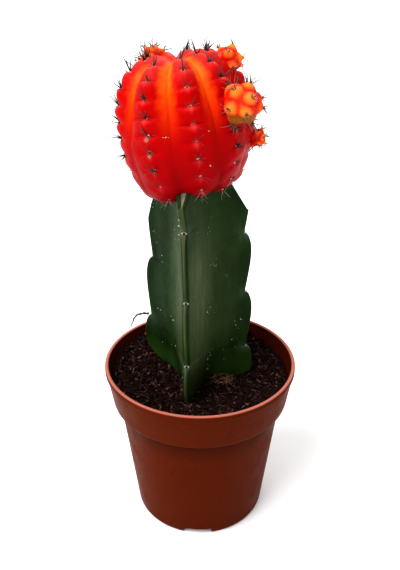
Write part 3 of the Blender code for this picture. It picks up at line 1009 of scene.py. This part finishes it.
ICO = (1 + math.sqrt(5)) / 2
LUMP_POINTS = np.array(
    [(0, a, b * ICO) for a in (-1, 1) for b in (-1, 1)]
    + [(a, b * ICO, 0) for a in (-1, 1) for b in (-1, 1)]
    + [(b * ICO, 0, a) for a in (-1, 1) for b in (-1, 1)]
) / math.hypot(1, ICO)


def lump_faces():
    """Triangles of the twelve-pointed lump: the triples of mutual neighbours."""
    edge = 2 / math.hypot(1, ICO) * 1.01
    near = np.linalg.norm(LUMP_POINTS[:, None] - LUMP_POINTS[None], axis=2) < edge
    faces = []
    for a in range(12):
        for b in range(a + 1, 12):
            for c in range(b + 1, 12):
                if near[a, b] and near[b, c] and near[a, c]:
                    start = LUMP_POINTS[a]
                    outward = np.cross(LUMP_POINTS[b] - start, LUMP_POINTS[c] - start) @ start > 0
                    faces.append((a, b, c) if outward else (a, c, b))
    return faces


LUMP_FACES = lump_faces()


def lump(rng, place, size, long=(0.7, 1.1)):
    """A rough crumb: a twelve-pointed lump, roughened, stretched and turned."""
    rough = np.array([[1 + rng.uniform(-0.35, 0.35)] for _ in LUMP_POINTS])
    scale = np.array((rng.uniform(*long), rng.uniform(0.45, 0.9), rng.uniform(0.35, 0.8)))
    around = Matrix.Rotation(rng.uniform(0, 6.3), 3, "Z")
    turn = around @ Matrix.Rotation(rng.uniform(-0.8, 0.8), 3, "Y")
    points = LUMP_POINTS * rough * scale @ np.array(turn).T * size
    return points + np.array(place), LUMP_FACES


# Crumbs of peat: how many, the smallest, how much larger others are, how long.
CRUMBS = 5200
CRUMB_SIZE = 0.00018
CRUMB_GROWTH = 0.00058
CRUMB_LENGTHS = (0.8, 2.6)


def build_crumbs(finish):
    """Loose crumbs and flakes all over the peat, a few of them paler."""
    rng = random.Random(11)
    spots = peat_spots(rng, CRUMBS)
    heights = peat_surface(np.array([(x, y, 0) for x, y in spots]))
    parts = Parts("tone")
    for (x, y), height in zip(spots, heights):
        size = CRUMB_SIZE + CRUMB_GROWTH * rng.random() ** 3
        place = (x, y, height + 0.3 * size)
        tone = 0.80 * rng.random() ** 5
        parts.add(*lump(rng, place, size, CRUMB_LENGTHS), tone=tone)
    parts.piece("peat_crumbs", finish, "peat")


FIBRE_STEPS = 5
FIBRES = 1500
CLUMP_FIBRES = 220
# How far the clump's fibres scatter, in radii of its mound.
CLUMP_SCATTER = 0.42


def fibre(rng, x, y, height, length, radius, lift):
    """A short curved root fibre lying on the peat."""
    way = rng.uniform(0, 2 * math.pi)
    bend = rng.uniform(-1.4, 1.4)
    spots = []
    radii = []
    spans = FIBRE_STEPS - 1
    for step in range(FIBRE_STEPS):
        share = step / spans
        spots.append((x, y, height + lift * math.sin(math.pi * share) + radius))
        radii.append(radius * (0.45 + 0.55 * math.sin(math.pi * (0.15 + 0.7 * share))))
        angle = way + bend * share
        x += math.cos(angle) * length / spans
        y += math.sin(angle) * length / spans
    return tube(spots, radii, 4)


def build_fibres(finish):
    """Root fibres all over the peat, and a paler clump of them on one mound."""
    rng = random.Random(23)
    spots = peat_spots(rng, FIBRES)
    (clump_x, clump_y), _, clump_radius = SOIL_MOUNDS[1]
    for _ in range(CLUMP_FIBRES):
        x = clump_x + rng.gauss(0, CLUMP_SCATTER) * clump_radius
        y = clump_y + rng.gauss(-0.3, CLUMP_SCATTER) * clump_radius
        spots.append((x, y))
    heights = peat_surface(np.array([(x, y, 0) for x, y in spots]))
    parts = Parts("tone")
    for number, ((x, y), height) in enumerate(zip(spots, heights)):
        length = 0.0008 + 0.0030 * rng.random() ** 2
        radius = 0.00004 + 0.00007 * rng.random()
        points, faces = fibre(rng, x, y, height, length, radius, rng.uniform(0, 0.0005))
        tone = rng.random() ** 3 * 0.5 if number < FIBRES else rng.uniform(0.65, 1.0)
        parts.add(points, faces, tone=tone)
    parts.piece("peat_fibres", finish, "peat")


# ---- globe -----------------------------------------------------------------


# The skin's fineness, and the depth of its creases and groove lines, with the
# size of the painted highlight round an areole.
GLOBE_COLUMNS_PER_RIB = 36
GLOBE_ROWS = 200
CREASE_DEPTH = 0.00020
GROOVE_LINE_DEPTH = 0.00030
AREOLE_HALO = 0.0009
# The scarred rib, and the count of areoles down to each scar with its half height.
SCAB_RIB = 1
SCAB_WIDTH = 0.055
SCAB_HEIGHT = 0.00025
SCABS = ((4.12, math.radians(2.6)), (5.0, math.radians(3.4)))
GLOBE_FRAME = Matrix.Translation(GLOBE_CENTRE) @ Matrix.Rotation(GLOBE_TILT, 4, "Y")


def bulge(polar):
    """Distance from the centre to a squarish round body's skin at this angle."""
    height = np.where(polar < np.pi / 2, GLOBE_TOP, GLOBE_BOTTOM)
    across = np.abs(np.sin(polar) / GLOBE_RADIUS) ** GLOBE_SQUARENESS
    along = np.abs(np.cos(polar) / height) ** GLOBE_SQUARENESS
    return (across + along) ** (-1 / GLOBE_SQUARENESS)


def rib_azimuth(phase):
    """Azimuth at a count of ribs: whole on each crest, and a half in each groove."""
    rib = np.floor(phase).astype(int)
    start = CRESTS[rib % RIBS]
    width = (CRESTS[(rib + 1) % RIBS] - start) % (2 * np.pi)
    return start + width * (phase - rib)


def nearest_rib(phase):
    """Number of the rib whose crest is nearest."""
    return np.round(phase).astype(int) % RIBS


def notch_phase(phase, polar):
    """How far down its chin a point lies: 0 at an areole's notch, up to 1."""
    return ((polar - FIRST_AREOLE - RIB_SHIFTS[nearest_rib(phase)]) / CHIN_PITCH) % 1.0


def rib_depth(polar):
    """Depth of the grooves: deep above, shallow on the lower flank, deeper again below."""
    above, flank, below = RIB_DEPTHS
    depth = above + (flank - above) * step_up(polar, math.radians(55), math.radians(105))
    return depth + (below - flank) * step_up(polar, math.radians(132), math.radians(160))


# Uneven growth, each as azimuth, polar angle, their spreads and the height: a
# heavier low left lobe, a slimmer right side and one young tubercle near the top.
SWELLS = (
    (math.radians(-54), math.radians(143), math.radians(24), math.radians(14), 0.0021),
    (math.radians(72), math.radians(126), math.radians(28), math.radians(13), -0.0013),
    (math.radians(65), math.radians(60), math.radians(5), math.radians(5), 0.0013),
)


def swell(phase, polar):
    """How far the uneven growth lifts the skin."""
    total = 0.0 * polar
    for azimuth, middle, across, along, height in SWELLS:
        turn = (rib_azimuth(phase) - azimuth + np.pi) % (2 * np.pi) - np.pi
        total = total + height * bell(turn, across) * bell(polar - middle, along)
    return total


def upper_half(polar):
    """1 on the upper half of the globe and 0 on the lower, with a smooth change."""
    return 1 - step_up(polar, math.radians(72), math.radians(112))


def chin_depth(polar):
    """Depth of the notches over the chins, above and below."""
    upper, lower = CHIN_DEPTHS
    return lower + (upper - lower) * upper_half(polar)


def globe_reach(phase, polar):
    """Distance from the globe's centre to its ribbed skin."""
    crest = np.abs(np.cos(np.pi * phase))
    ring = np.sin(polar)
    reach = bulge(polar)
    reach -= rib_depth(polar) * (1 - crest**1.15) * ring**0.6
    chin = np.sin(np.pi * notch_phase(phase, polar) ** 0.6)
    reach -= chin_depth(polar) * (1 - chin) * crest**3 * ring
    reach += swell(phase, polar)
    reach -= APEX_DEPTH * bell(polar, APEX_WIDTH)
    reach -= UNDERSIDE_DEPTH * bell(np.pi - polar, UNDERSIDE_WIDTH)
    return reach


def globe_skin(phase, polar):
    """Points of the skin, from the globe's centre."""
    return directions(rib_azimuth(phase), polar) * globe_reach(phase, polar)[..., None]


def from_notch(phase, polar):
    """Signed angle from the nearest areole's notch, in chins, down from -0.5 to 0.5."""
    return (notch_phase(phase, polar) + 0.5) % 1.0 - 0.5


def rib_width(phase):
    """Width in radians of the rib that each point is on."""
    rib = nearest_rib(phase)
    return ((CRESTS[(rib + 1) % RIBS] - CRESTS[(rib - 1) % RIBS]) % (2 * np.pi)) / 2


def scab_mark(phase, polar):
    """Two dried corky scars on one rib."""
    mark = np.zeros_like(polar)
    for number, tall in SCABS:
        centre = FIRST_AREOLE + RIB_SHIFTS[SCAB_RIB] + CHIN_PITCH * number
        mark = np.maximum(mark, bell(phase - SCAB_RIB, SCAB_WIDTH) * bell(polar - centre, tall))
    return step_up(mark, 0.3, 0.8)


def groove_line(side, polar, width):
    """The thin crease along the middle of each groove, on the upper half."""
    return bell(0.5 - side, width) * (1 - step_up(polar, 1.2, 1.9))


# How orange the groove after each rib is.
GROOVE_GLOW = (0.88, 1.0, 1.0, 0.45, 0.55, 0.8, 0.9, 0.9, 0.6)


def globe_marks(phase, polar, reach):
    """The masks that the globe's colours are mixed by."""
    side = np.abs(phase - np.round(phase))
    notch = from_notch(phase, polar)
    ring = np.sin(polar)
    over = side * rib_width(phase) * ring * reach
    down = notch * CHIN_PITCH * reach
    # Painted highlights round each areole, on the top of each chin and on the crown, and a pale
    # streak under each areole.
    areole_highlight = bell(over, AREOLE_HALO) * bell(down - 0.0002, AREOLE_HALO)
    chin_highlight = bell(notch - 0.18, 0.12) * bell(side, 0.16)
    streak = bell(over, 0.00035) * bell(down - 0.0012, 0.0009)
    crown_highlight = 1 - step_up(polar, math.radians(24), math.radians(58))
    pale = 0.42 * areole_highlight + 0.17 * chin_highlight * upper_half(polar) + 0.20 * streak
    pale = pale + 0.50 * crown_highlight * (1 - 1.7 * side)
    return {
        "groove": 2 * side * np.take(GROOVE_GLOW, np.floor(phase).astype(int) % RIBS),
        "down": polar / np.pi,
        # Painted shade along the middle of each upper groove.
        "crease": 0.35 * groove_line(side, polar, 0.020),
        "pale": np.clip(pale, 0, 1),
        "dry": 0.40 * step_up(polar, math.radians(134), math.radians(154)),
        "scab": scab_mark(phase, polar),
    }


def build_globe(finish):
    """The ribbed red body, with creases over its chins and in its grooves."""
    columns = RIBS * GLOBE_COLUMNS_PER_RIB
    phase, polar = np.meshgrid(
        np.arange(columns) / GLOBE_COLUMNS_PER_RIB, np.linspace(0.02, np.pi - 0.02, GLOBE_ROWS)
    )
    side = np.abs(phase - np.round(phase))
    notch = from_notch(phase, polar)
    ring = np.sin(polar)
    crease = bell(notch, 0.06) * bell(side, 0.17)
    crease *= 0.25 + 0.75 * upper_half(polar)
    cut = CREASE_DEPTH * crease + GROOVE_LINE_DEPTH * groove_line(side, polar, 0.018)
    scab = scab_mark(phase, polar)
    reach = globe_reach(phase, polar)
    reach -= cut * ring - SCAB_HEIGHT * scab
    flat = (directions(rib_azimuth(phase), polar) * reach[..., None]).reshape(-1, 3)
    away = flat / np.linalg.norm(flat, axis=1)[:, None]
    uneven = 0.00030 * fractal(flat, 0.009, 3, 2.0)
    uneven += 0.00012 * scab.ravel() * fractal(flat, 0.0008, 3, 9.0)
    flat += away * uneven[:, None]
    faces = capped_faces(GLOBE_ROWS, columns, flipped=True)
    marks = {name: mark.ravel() for name, mark in globe_marks(phase, polar, reach).items()}
    parts = Parts(*marks)
    parts.add(transformed(flat, GLOBE_FRAME), faces, **marks)
    parts.piece("globe_flesh", finish, "globe_skin", "scion")


# ---- offsets ---------------------------------------------------------------


# Each offset: how many tubercles, their turn and pointedness, its size against
# its CAD box and its shift from that box's middle, how red it is all over, at its
# base and on its right side, and how olive underneath.
OFFSET_SHAPES = {
    "offset_1": {"tubercles": 11, "seed": 0.4, "point": 0.14, "size": 1.10,
                 "shift": (0.0, 0.0, -0.0007), "red": (0.15, 0.3, 0.2), "olive": 0.0},
    "offset_2": {"tubercles": 9, "seed": 1.9, "point": 0.13, "size": 1.14,
                 "shift": (-0.0018, 0.0, 0.0003), "red": (0.05, 0.6, 0.0), "olive": 0.0},
    "offset_3": {"tubercles": 12, "seed": 3.1, "point": 0.06, "size": 1.02,
                 "shift": (0.0, 0.0, 0.0), "red": (0.0, 0.30, 0.80), "olive": 0.95},
    "offset_4": {"tubercles": 10, "seed": 4.4, "point": 0.14, "size": 1.05,
                 "shift": (-0.0010, 0.0, 0.0), "red": (0.1, 0.9, 0.0), "olive": 0.0},
}
OFFSET_ROWS = 80
OFFSET_COLUMNS = 110
GOLDEN_ANGLE = math.pi * (3 - math.sqrt(5))
# In radii of the offset: its round core, and where the round tubercles sit on it.
CORE_REACH = 0.80
TUBERCLE_CENTRE = 0.55
TUBERCLE_RADIUS = 0.46
TUBERCLE_BLEND = 45
POINT_WIDTH = 0.17


def offset_place(name):
    """Middle of an offset's CAD box, its way out of the globe and its radius."""
    low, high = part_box(name)
    middle = (low + high) / 2
    out = (middle - GLOBE_CENTRE).normalized()
    radius = 0.5 * min(high - low)
    return middle, out, radius


def tubercle_ways(count, seed):
    """Directions of the tubercles, in a spiral down from the growing tip."""
    number = np.arange(count) + 0.6
    down = np.arccos(1 - 1.45 * number / count)
    return directions(seed + GOLDEN_ANGLE * number, down)


def tubercle_reach(angles, point):
    """Reach of a core with round, pointed tubercles, at angles from each one's way."""
    gap = TUBERCLE_RADIUS**2 - (TUBERCLE_CENTRE * np.sin(angles)) ** 2
    inside = (gap > 0) & (angles < np.pi / 2)
    ball = TUBERCLE_CENTRE * np.cos(angles) + np.sqrt(np.clip(gap, 0, None))
    reach = np.where(inside, ball + point * bell(angles, POINT_WIDTH), 0.0)
    total = np.exp(TUBERCLE_BLEND * reach).sum(1) + math.exp(TUBERCLE_BLEND * CORE_REACH)
    return np.log(total) / TUBERCLE_BLEND


def offset_shape(name):
    """Points, faces and marks of one offset, and the places and ways of its tips."""
    middle, out, radius = offset_place(name)
    shape = OFFSET_SHAPES[name]
    middle = middle + Vector(shape["shift"])
    radius *= shape["size"]
    ways = tubercle_ways(shape["tubercles"], shape["seed"])
    around, polar = np.meshgrid(
        2 * np.pi * np.arange(OFFSET_COLUMNS) / OFFSET_COLUMNS,
        np.linspace(0.03, np.pi - 0.03, OFFSET_ROWS),
    )
    sphere = directions(around, polar).reshape(-1, 3)
    angles = np.arccos(np.clip(sphere @ ways.T, -1, 1))
    reach = tubercle_reach(angles, shape["point"])
    flat = sphere * reach[:, None] * radius
    neck = flat[:, 2] < 0
    flat[neck, 2] *= 1.4
    turn = out.to_track_quat("Z", "Y").to_matrix().to_4x4()
    frame_of = Matrix.Translation(middle) @ turn
    faces = capped_faces(OFFSET_ROWS, OFFSET_COLUMNS, flipped=True)
    turned = np.array(turn.to_3x3())
    facing = sphere @ turned.T
    tip = step_up(reach, 0.86, 1.03)
    all_over, base, right = shape["red"]
    red = all_over + base * (1 - step_up(sphere[:, 2], -0.1, 0.75))
    red = red + right * step_up(facing[:, 0] + 0.3 * (1 - tip), 0.1, 0.9)
    first, second = np.sort(angles, axis=1)[:, :2].T
    valley = bell(second - first, 0.16)
    marks = {
        "tip": tip,
        "red": np.clip(red * (1 - 0.45 * tip) + 0.55 * valley, 0, 1),
        "olive": shape["olive"] * step_up(-facing[:, 2], 0.20, 0.80),
    }
    tip_reach = TUBERCLE_CENTRE + TUBERCLE_RADIUS + 0.9 * shape["point"]
    tips = transformed(ways * radius * tip_reach, frame_of)
    skin = transformed(flat, frame_of)
    return skin, faces, marks, tips, ways @ turned.T


def build_offset(name, finish):
    """One pup with its rounded tubercles."""
    points, faces, marks, _, _ = offset_shape(name)
    parts = Parts(*marks)
    parts.add(points, faces, **marks)
    parts.piece(name.replace("_", "_pup_"), finish, "offset_skin", name)


# ---- areoles and spines ----------------------------------------------------


def globe_areoles():
    """Place and outward way of each areole on the globe, with its rib and number."""
    found = []
    for rib in range(RIBS):
        for number in range(AREOLES_PER_RIB):
            polar = FIRST_AREOLE + RIB_SHIFTS[rib] + CHIN_PITCH * number
            phase = np.array(float(rib))
            point = globe_skin(phase, np.array(polar)) + 0.0
            out = Vector(directions(CRESTS[rib], np.array(polar)))
            place = GLOBE_FRAME @ Vector(point)
            way = (GLOBE_FRAME.to_3x3() @ out).normalized()
            if clear_of_pieces(place):
                found.append((place, way, rib, number))
    return found


def clear_of_pieces(place):
    """Whether a spot on the globe is free of the offsets and of the stem."""
    for name in OFFSETS:
        middle, _, radius = offset_place(name)
        if (place - middle).length < radius * 1.25:
            return False
    spot = place - STEM_AXIS
    return place.z > GRAFT_HEIGHT or spot.xy.length > 0.9 * VALLEY_RADIUS


CUSHION_STEPS = 7
CUSHION_SIDES = 14


def cushion(place, way, radius, height):
    """A low dome with a dimple, as points, faces and a mark of its dark hole."""
    share = np.linspace(1.0, 0.08, CUSHION_STEPS)
    profile = height * (1 - share**2 - 0.6 * bell(share, 0.3))
    turn = 2 * np.pi * np.arange(CUSHION_SIDES) / CUSHION_SIDES
    ring = np.stack((np.cos(turn), np.sin(turn), 0 * turn), -1)
    rows = [ring * radius * s + np.array((0, 0, h)) for s, h in zip(share, profile)]
    points = np.concatenate(rows)
    frame_of = Matrix.Translation(place) @ way.to_track_quat("Z", "Y").to_matrix().to_4x4()
    from_hole = np.hypot(points[:, 0], points[:, 1] + 0.22 * radius) / radius
    centre = 1 - step_up(from_hole, 0.40, 0.68)
    return transformed(points, frame_of), capped_faces(CUSHION_STEPS, CUSHION_SIDES), centre


def add_spine(parts, rng, place, out, lengths, radius):
    """Adds one slightly bent spine, its length drawn between two."""
    length = rng.uniform(*lengths)
    sag = Vector((rng.uniform(-0.2, 0.2), rng.uniform(-0.2, 0.2), rng.uniform(-0.1, 0.3)))
    points, faces, along = curved_spine(place, out, length, radius * rng.uniform(0.8, 1.15), sag)
    parts.add(points, faces, along=along)


def spine_fan(parts, rng, place, way, count, spread, lengths, radius):
    """Adds a fan of spines that lean away from an areole's outward way."""
    turn = way.to_track_quat("Z", "Y").to_matrix()
    start = rng.uniform(0, 6.3)
    for spine in range(count):
        azimuth = start + 2 * math.pi * spine / count + rng.uniform(-0.4, 0.4)
        lean = spread * rng.uniform(0.7, 1.2)
        local = Vector((math.cos(azimuth), math.sin(azimuth), 0)) * math.sin(lean)
        local.z = math.cos(lean)
        add_spine(parts, rng, place, turn @ local, lengths, radius)


def central_spines(parts, rng, place, way, count, lengths, radius):
    """Adds stout spines that stand out of an areole and lean upwards."""
    flat_top = abs(way.z) >= 0.98
    rise = Vector((0, 1, 0)) if flat_top else (Vector((0, 0, 1)) - way * way.z).normalized()
    side = way.cross(rise)
    for _ in range(count):
        out = way + rise * rng.uniform(-0.1, 1.1) + side * rng.uniform(-0.8, 0.8)
        add_spine(parts, rng, place, out.normalized(), lengths, radius)


# Areoles on the upper and middle globe, this many to a rib, have larger wool.
LARGE_AREOLES = 6
WOOL_RADII = (0.00066, 0.00050)
WOOL_HEIGHT = 0.00038


def build_globe_areoles(finish):
    """A cushion of wool on every areole of the globe."""
    parts = Parts("centre")
    for place, way, _, number in globe_areoles():
        radius = WOOL_RADII[number >= LARGE_AREOLES]
        points, faces, centre = cushion(place - way * 0.0001, way, radius, WOOL_HEIGHT)
        parts.add(points, faces, centre=centre)
    parts.piece("globe_wool", finish, "spines")


# Ribs whose spines are mostly worn off on the flank that faces forward, and
# the shortest and longest stout spines of each rib: those at the left are longer.
WORN_RIBS = (2,)
STOUT_LENGTHS = {0: (0.0036, 0.0064), 1: (0.0022, 0.0042), 8: (0.0036, 0.0064)}
OTHER_LENGTHS = (0.0028, 0.0050)
STOUT_RADIUS = 0.00018
# Fine spines, as shortest, longest and radius: above, under the globe, on the
# young tubercle, and the pale ones that hang down.
UPPER_FINE = ((0.0018, 0.0036), 0.00011)
LOWER_FINE = ((0.0018, 0.0040), 0.00008)
TUBERCLE_FINE = ((0.0014, 0.0026), 0.00012)
HANGING_FINE = ((0.0020, 0.0044), 0.000065)
# Counts of areoles down to the first with no stout spines, and the first with
# only pale hanging ones.
FIRST_FINE = 7
FIRST_HANGING = 8
YOUNG_TUBERCLE = 2


def build_globe_spines(finish):
    """Stout dark spines on the upper areoles, and fans of finer ones on them all."""
    rng = random.Random(5)
    parts = Parts("along")
    for place, way, rib, number in globe_areoles():
        root = place - way * 0.0002
        worn = rib in WORN_RIBS and number > 1
        if number < FIRST_FINE and not worn:
            stout = STOUT_LENGTHS.get(rib, OTHER_LENGTHS)
            central_spines(parts, rng, root, way, rng.choice((3, 3, 4)), stout, STOUT_RADIUS)
        fine = UPPER_FINE if number < FIRST_FINE else LOWER_FINE
        spine_fan(parts, rng, root, way, rng.choice((4, 5, 6)), math.radians(60), *fine)
    azimuth, polar, *_ = SWELLS[YOUNG_TUBERCLE]
    out = Vector(directions(azimuth, np.array(polar)))
    root = GLOBE_FRAME @ (out * (GLOBE_RADIUS + 0.0006))
    way = GLOBE_FRAME.to_3x3() @ out
    spine_fan(parts, rng, root, way, 6, math.radians(50), *TUBERCLE_FINE)
    parts.piece("globe_spines", finish, "spines", *SPINE_NODES)


def build_hanging_spines(finish):
    """Fine pale spines that hang from the areoles under the globe."""
    rng = random.Random(41)
    parts = Parts("along")
    for place, way, _, number in globe_areoles():
        if number >= FIRST_HANGING:
            out = (way + Vector((0, 0, -0.9))).normalized()
            spine_fan(parts, rng, place, out, 5, math.radians(38), *HANGING_FINE)
    parts.piece("hanging_spines", finish, "spines")


# Shortest and longest spine of each offset, and their radius.
OFFSET_SPINES = {
    "offset_1": ((0.0020, 0.0040), 0.00012),
    "offset_2": ((0.0018, 0.0034), 0.00010),
    "offset_3": ((0.0022, 0.0046), 0.00013),
    "offset_4": ((0.0018, 0.0034), 0.00010),
}


def build_offset_spines(finish):
    """A fan of spines on every tubercle of the offsets."""
    rng = random.Random(8)
    parts = Parts("along")
    for name in OFFSETS:
        *_, tips, ways = offset_shape(name)
        for tip, way in zip(tips, ways):
            root = Vector(tip) - Vector(way) * 0.0003
            spine_fan(parts, rng, root, Vector(way), 6, math.radians(42), *OFFSET_SPINES[name])
    parts.piece("offset_spines", finish, "spines")


def stem_areoles():
    """Place and outward way of each areole on the stem's margins."""
    found = []
    for wing in WINGS:
        notch, pitch = wing["notches"]
        out = heading(wing["azimuth"])
        height = notch
        while height > SOIL_LEVEL + 0.004:
            radius = uncut_radius(wing, height)
            found.append((wing_point(wing, height, radius, 0.0), out))
            height -= pitch
    return found


# How far the stem's cushions of wool tilt upwards, their radius and height, and
# the shortest and longest of their few spines with their radius.
AREOLE_TILT = 0.8
STEM_WOOL = (0.00085, 0.00050)
STEM_SPINES = ((0.0006, 0.0014), 0.00006)


def build_stem_areoles(wool, horn):
    """Wool and a few tiny spines at each notch of the wings."""
    rng = random.Random(17)
    cushions, spines = Parts("centre"), Parts("along")
    for place, out in stem_areoles():
        raised = (out + Vector((0, 0, AREOLE_TILT))).normalized()
        points, faces, centre = cushion(place, raised, *STEM_WOOL)
        cushions.add(points, faces, centre=centre)
        spine_fan(spines, rng, place, out, 3, math.radians(55), *STEM_SPINES)
    cushions.piece("stem_wool", wool, "spines")
    spines.piece("stem_spines", horn, "spines")


# Groups of specks on the stem, how far each spreads up and down and across the
# flank, and the smallest and largest speck.
SPECK_GROUPS = 42
SPECK_SPREAD = (0.0016, 0.06)
SPECK_SIZES = (0.00012, 0.00034)


def build_specks(finish):
    """Scattered little groups of specks on the flanks of the wings."""
    rng = random.Random(12)
    parts = Parts()
    for _ in range(SPECK_GROUPS):
        wing = rng.choice(WINGS)
        side = rng.choice((-1, 1))
        height = rng.uniform(SOIL_LEVEL + 0.006, GRAFT_HEIGHT - 0.010)
        share = rng.uniform(0.05, 0.75)
        for _ in range(rng.choice((1, 1, 2, 3, 6))):
            spot_height = height + rng.gauss(0, SPECK_SPREAD[0])
            place = flank_point(wing, side, spot_height, share + rng.gauss(0, SPECK_SPREAD[1]))
            parts.add(*lump(rng, place, rng.uniform(*SPECK_SIZES)))
    parts.piece("stem_specks", finish, "stem_skin")


def flank_point(wing, side, height, share):
    """A point on a wing's flank: share 0 is near the valley and 1 near the margin."""
    ring = smooth_closed(stem_ring(height), SECTION_STEPS)[:, :3]
    along, across = from_axis(ring, wing["azimuth"])
    on_flank = (across * side > 0.0010) & (along > 0.4 * VALLEY_RADIUS)
    flank = ring[on_flank][np.argsort(along[on_flank])]
    return flank[int(min(max(share, 0.0), 0.99) * len(flank))]


# Small scratches and dots on the globe: phase, count of areoles down, and size.
GLOBE_SPECKS = (
    (1.36, 4.42, 0.00020),
    (1.40, 4.43, 0.00024),
    (1.45, 4.44, 0.00018),
    (2.24, 6.27, 0.00028),
    (2.31, 4.42, 0.00022),
)


def build_globe_specks(finish):
    """Little dry scratches and dots on the globe's skin."""
    rng = random.Random(3)
    parts = Parts()
    for phase, number, size in GLOBE_SPECKS:
        point = globe_skin(np.array(phase), np.array(FIRST_AREOLE + CHIN_PITCH * number))
        parts.add(*lump(rng, GLOBE_FRAME @ Vector(point), size, (1.6, 2.6)))
    parts.piece("globe_specks", finish, "globe_skin")


def build_root(finish):
    """The dried aerial root, a thin bent filament."""
    points = np.array(ROOT_POINTS)
    share = np.linspace(0, len(points) - 1, ROOT_STEPS)
    place = np.arange(len(points))
    path = np.column_stack([np.interp(share, place, points[:, axis]) for axis in range(3)])
    waves = [np.sin(share * wave + axis) for axis, wave in enumerate((2.1, 3.3, 2.7))]
    path += ROOT_WAVE * np.column_stack(waves)
    radii = ROOT_RADIUS * (1.45 - 0.9 * share / share[-1]) * (1 + 0.2 * np.sin(share * 9))
    parts = Parts()
    parts.add(*tube(path, radii, 8))
    parts.piece("air_root", finish, "dry_root", "aerial_root")


# ---- studio ----------------------------------------------------------------


DOME_STRENGTH = 0.60
# Each lamp: the way that its light travels, its strength and its softness.
SUNS = (
    ("key_light", (0.55, 0.35, -0.75), 2.2, math.radians(45)),
    ("back_light", (-0.25, -0.60, -0.75), 0.7, math.radians(60)),
)


FLOOR_HALF_WIDTH = 12.0
# The camera: lens in mm, place, and turn about X from looking straight down.
LENS = 40.33
CAMERA_PLACE = (0.0, -0.1851, 0.1800)
CAMERA_TURN = math.radians(63.25)


def build_floor():
    """A pale matt floor with a faint mottle, far wider than the view."""
    look = Finish("floor_paper", 0.9)
    paper = look.mix(look.noise(0.15, 3), (0.94, 0.94, 0.94, 1), (0.96, 0.96, 0.96, 1))
    mesh = bpy.data.meshes.new("studio_floor")
    corners = [(x * FLOOR_HALF_WIDTH, y * FLOOR_HALF_WIDTH, 0) for x, y in SQUARE]
    mesh.from_pydata(corners, [], [(0, 1, 2, 3)])
    mesh.materials.append(look.made(paper))
    floor = bpy.data.objects.new("studio_floor", mesh)
    bpy.context.scene.collection.objects.link(floor)


def add_sun(name, way, strength, softness):
    """A far, soft lamp that shines along a way, the same over the whole floor."""
    data = bpy.data.lights.new(name, "SUN")
    data.energy = strength
    data.angle = softness
    light = bpy.data.objects.new(name, data)
    light.rotation_mode = "QUATERNION"
    light.rotation_quaternion = Vector(way).to_track_quat("-Z", "Y")
    bpy.context.scene.collection.objects.link(light)


def build_studio():
    """A white dome of light, the lamps and the picture's contrast."""
    world = bpy.data.worlds.new("studio")
    world.use_nodes = True
    background = world.node_tree.nodes["Background"]
    background.inputs["Color"].default_value = (1.0, 1.0, 1.0, 1.0)
    background.inputs["Strength"].default_value = DOME_STRENGTH
    bpy.context.scene.world = world
    for name, way, strength, softness in SUNS:
        add_sun(name, way, strength, softness)
    bpy.context.scene.view_settings.view_transform = "Standard"
    bpy.context.scene.view_settings.look = "High Contrast"


def build_camera():
    """The camera at the photograph's viewing angle."""
    data = bpy.data.cameras.new("camera")
    data.lens = LENS
    data.clip_start = 0.001
    camera = bpy.data.objects.new("camera", data)
    camera.location = CAMERA_PLACE
    camera.rotation_euler = (CAMERA_TURN, 0.0, 0.0)
    bpy.context.scene.collection.objects.link(camera)
    bpy.context.scene.camera = camera


def build_plant():
    """Everything that grows."""
    build_stem(stem_finish())
    build_globe(globe_finish())
    flesh = offset_finish()
    for name in OFFSETS:
        build_offset(name, flesh)
    build_globe_areoles(wool_finish("globe_wool", "D8C8B8", "8A7060"))
    build_globe_spines(spine_finish("spines", "2A1C18", "6A5C54"))
    build_hanging_spines(spine_finish("pale_spines", "8E7E70", "CFC4B4"))
    build_offset_spines(spine_finish("young_spines", "3E3634", "85817C"))
    build_stem_areoles(
        wool_finish("stem_wool", "B5AC98", "7A705C"),
        spine_finish("stem_spines", "5A5048", "B0A898"),
    )
    build_specks(speck_finish("stem_speck"))
    build_globe_specks(speck_finish("globe_speck"))
    build_root(root_finish())


def build_all():
    """The studio and every piece of the object."""
    build_camera()
    build_studio()
    build_floor()
    build_pot(pot_finish())
    peat = peat_finish()
    build_peat(peat)
    build_crumbs(peat)
    build_fibres(fibre_finish())
    build_plant()


build_all()
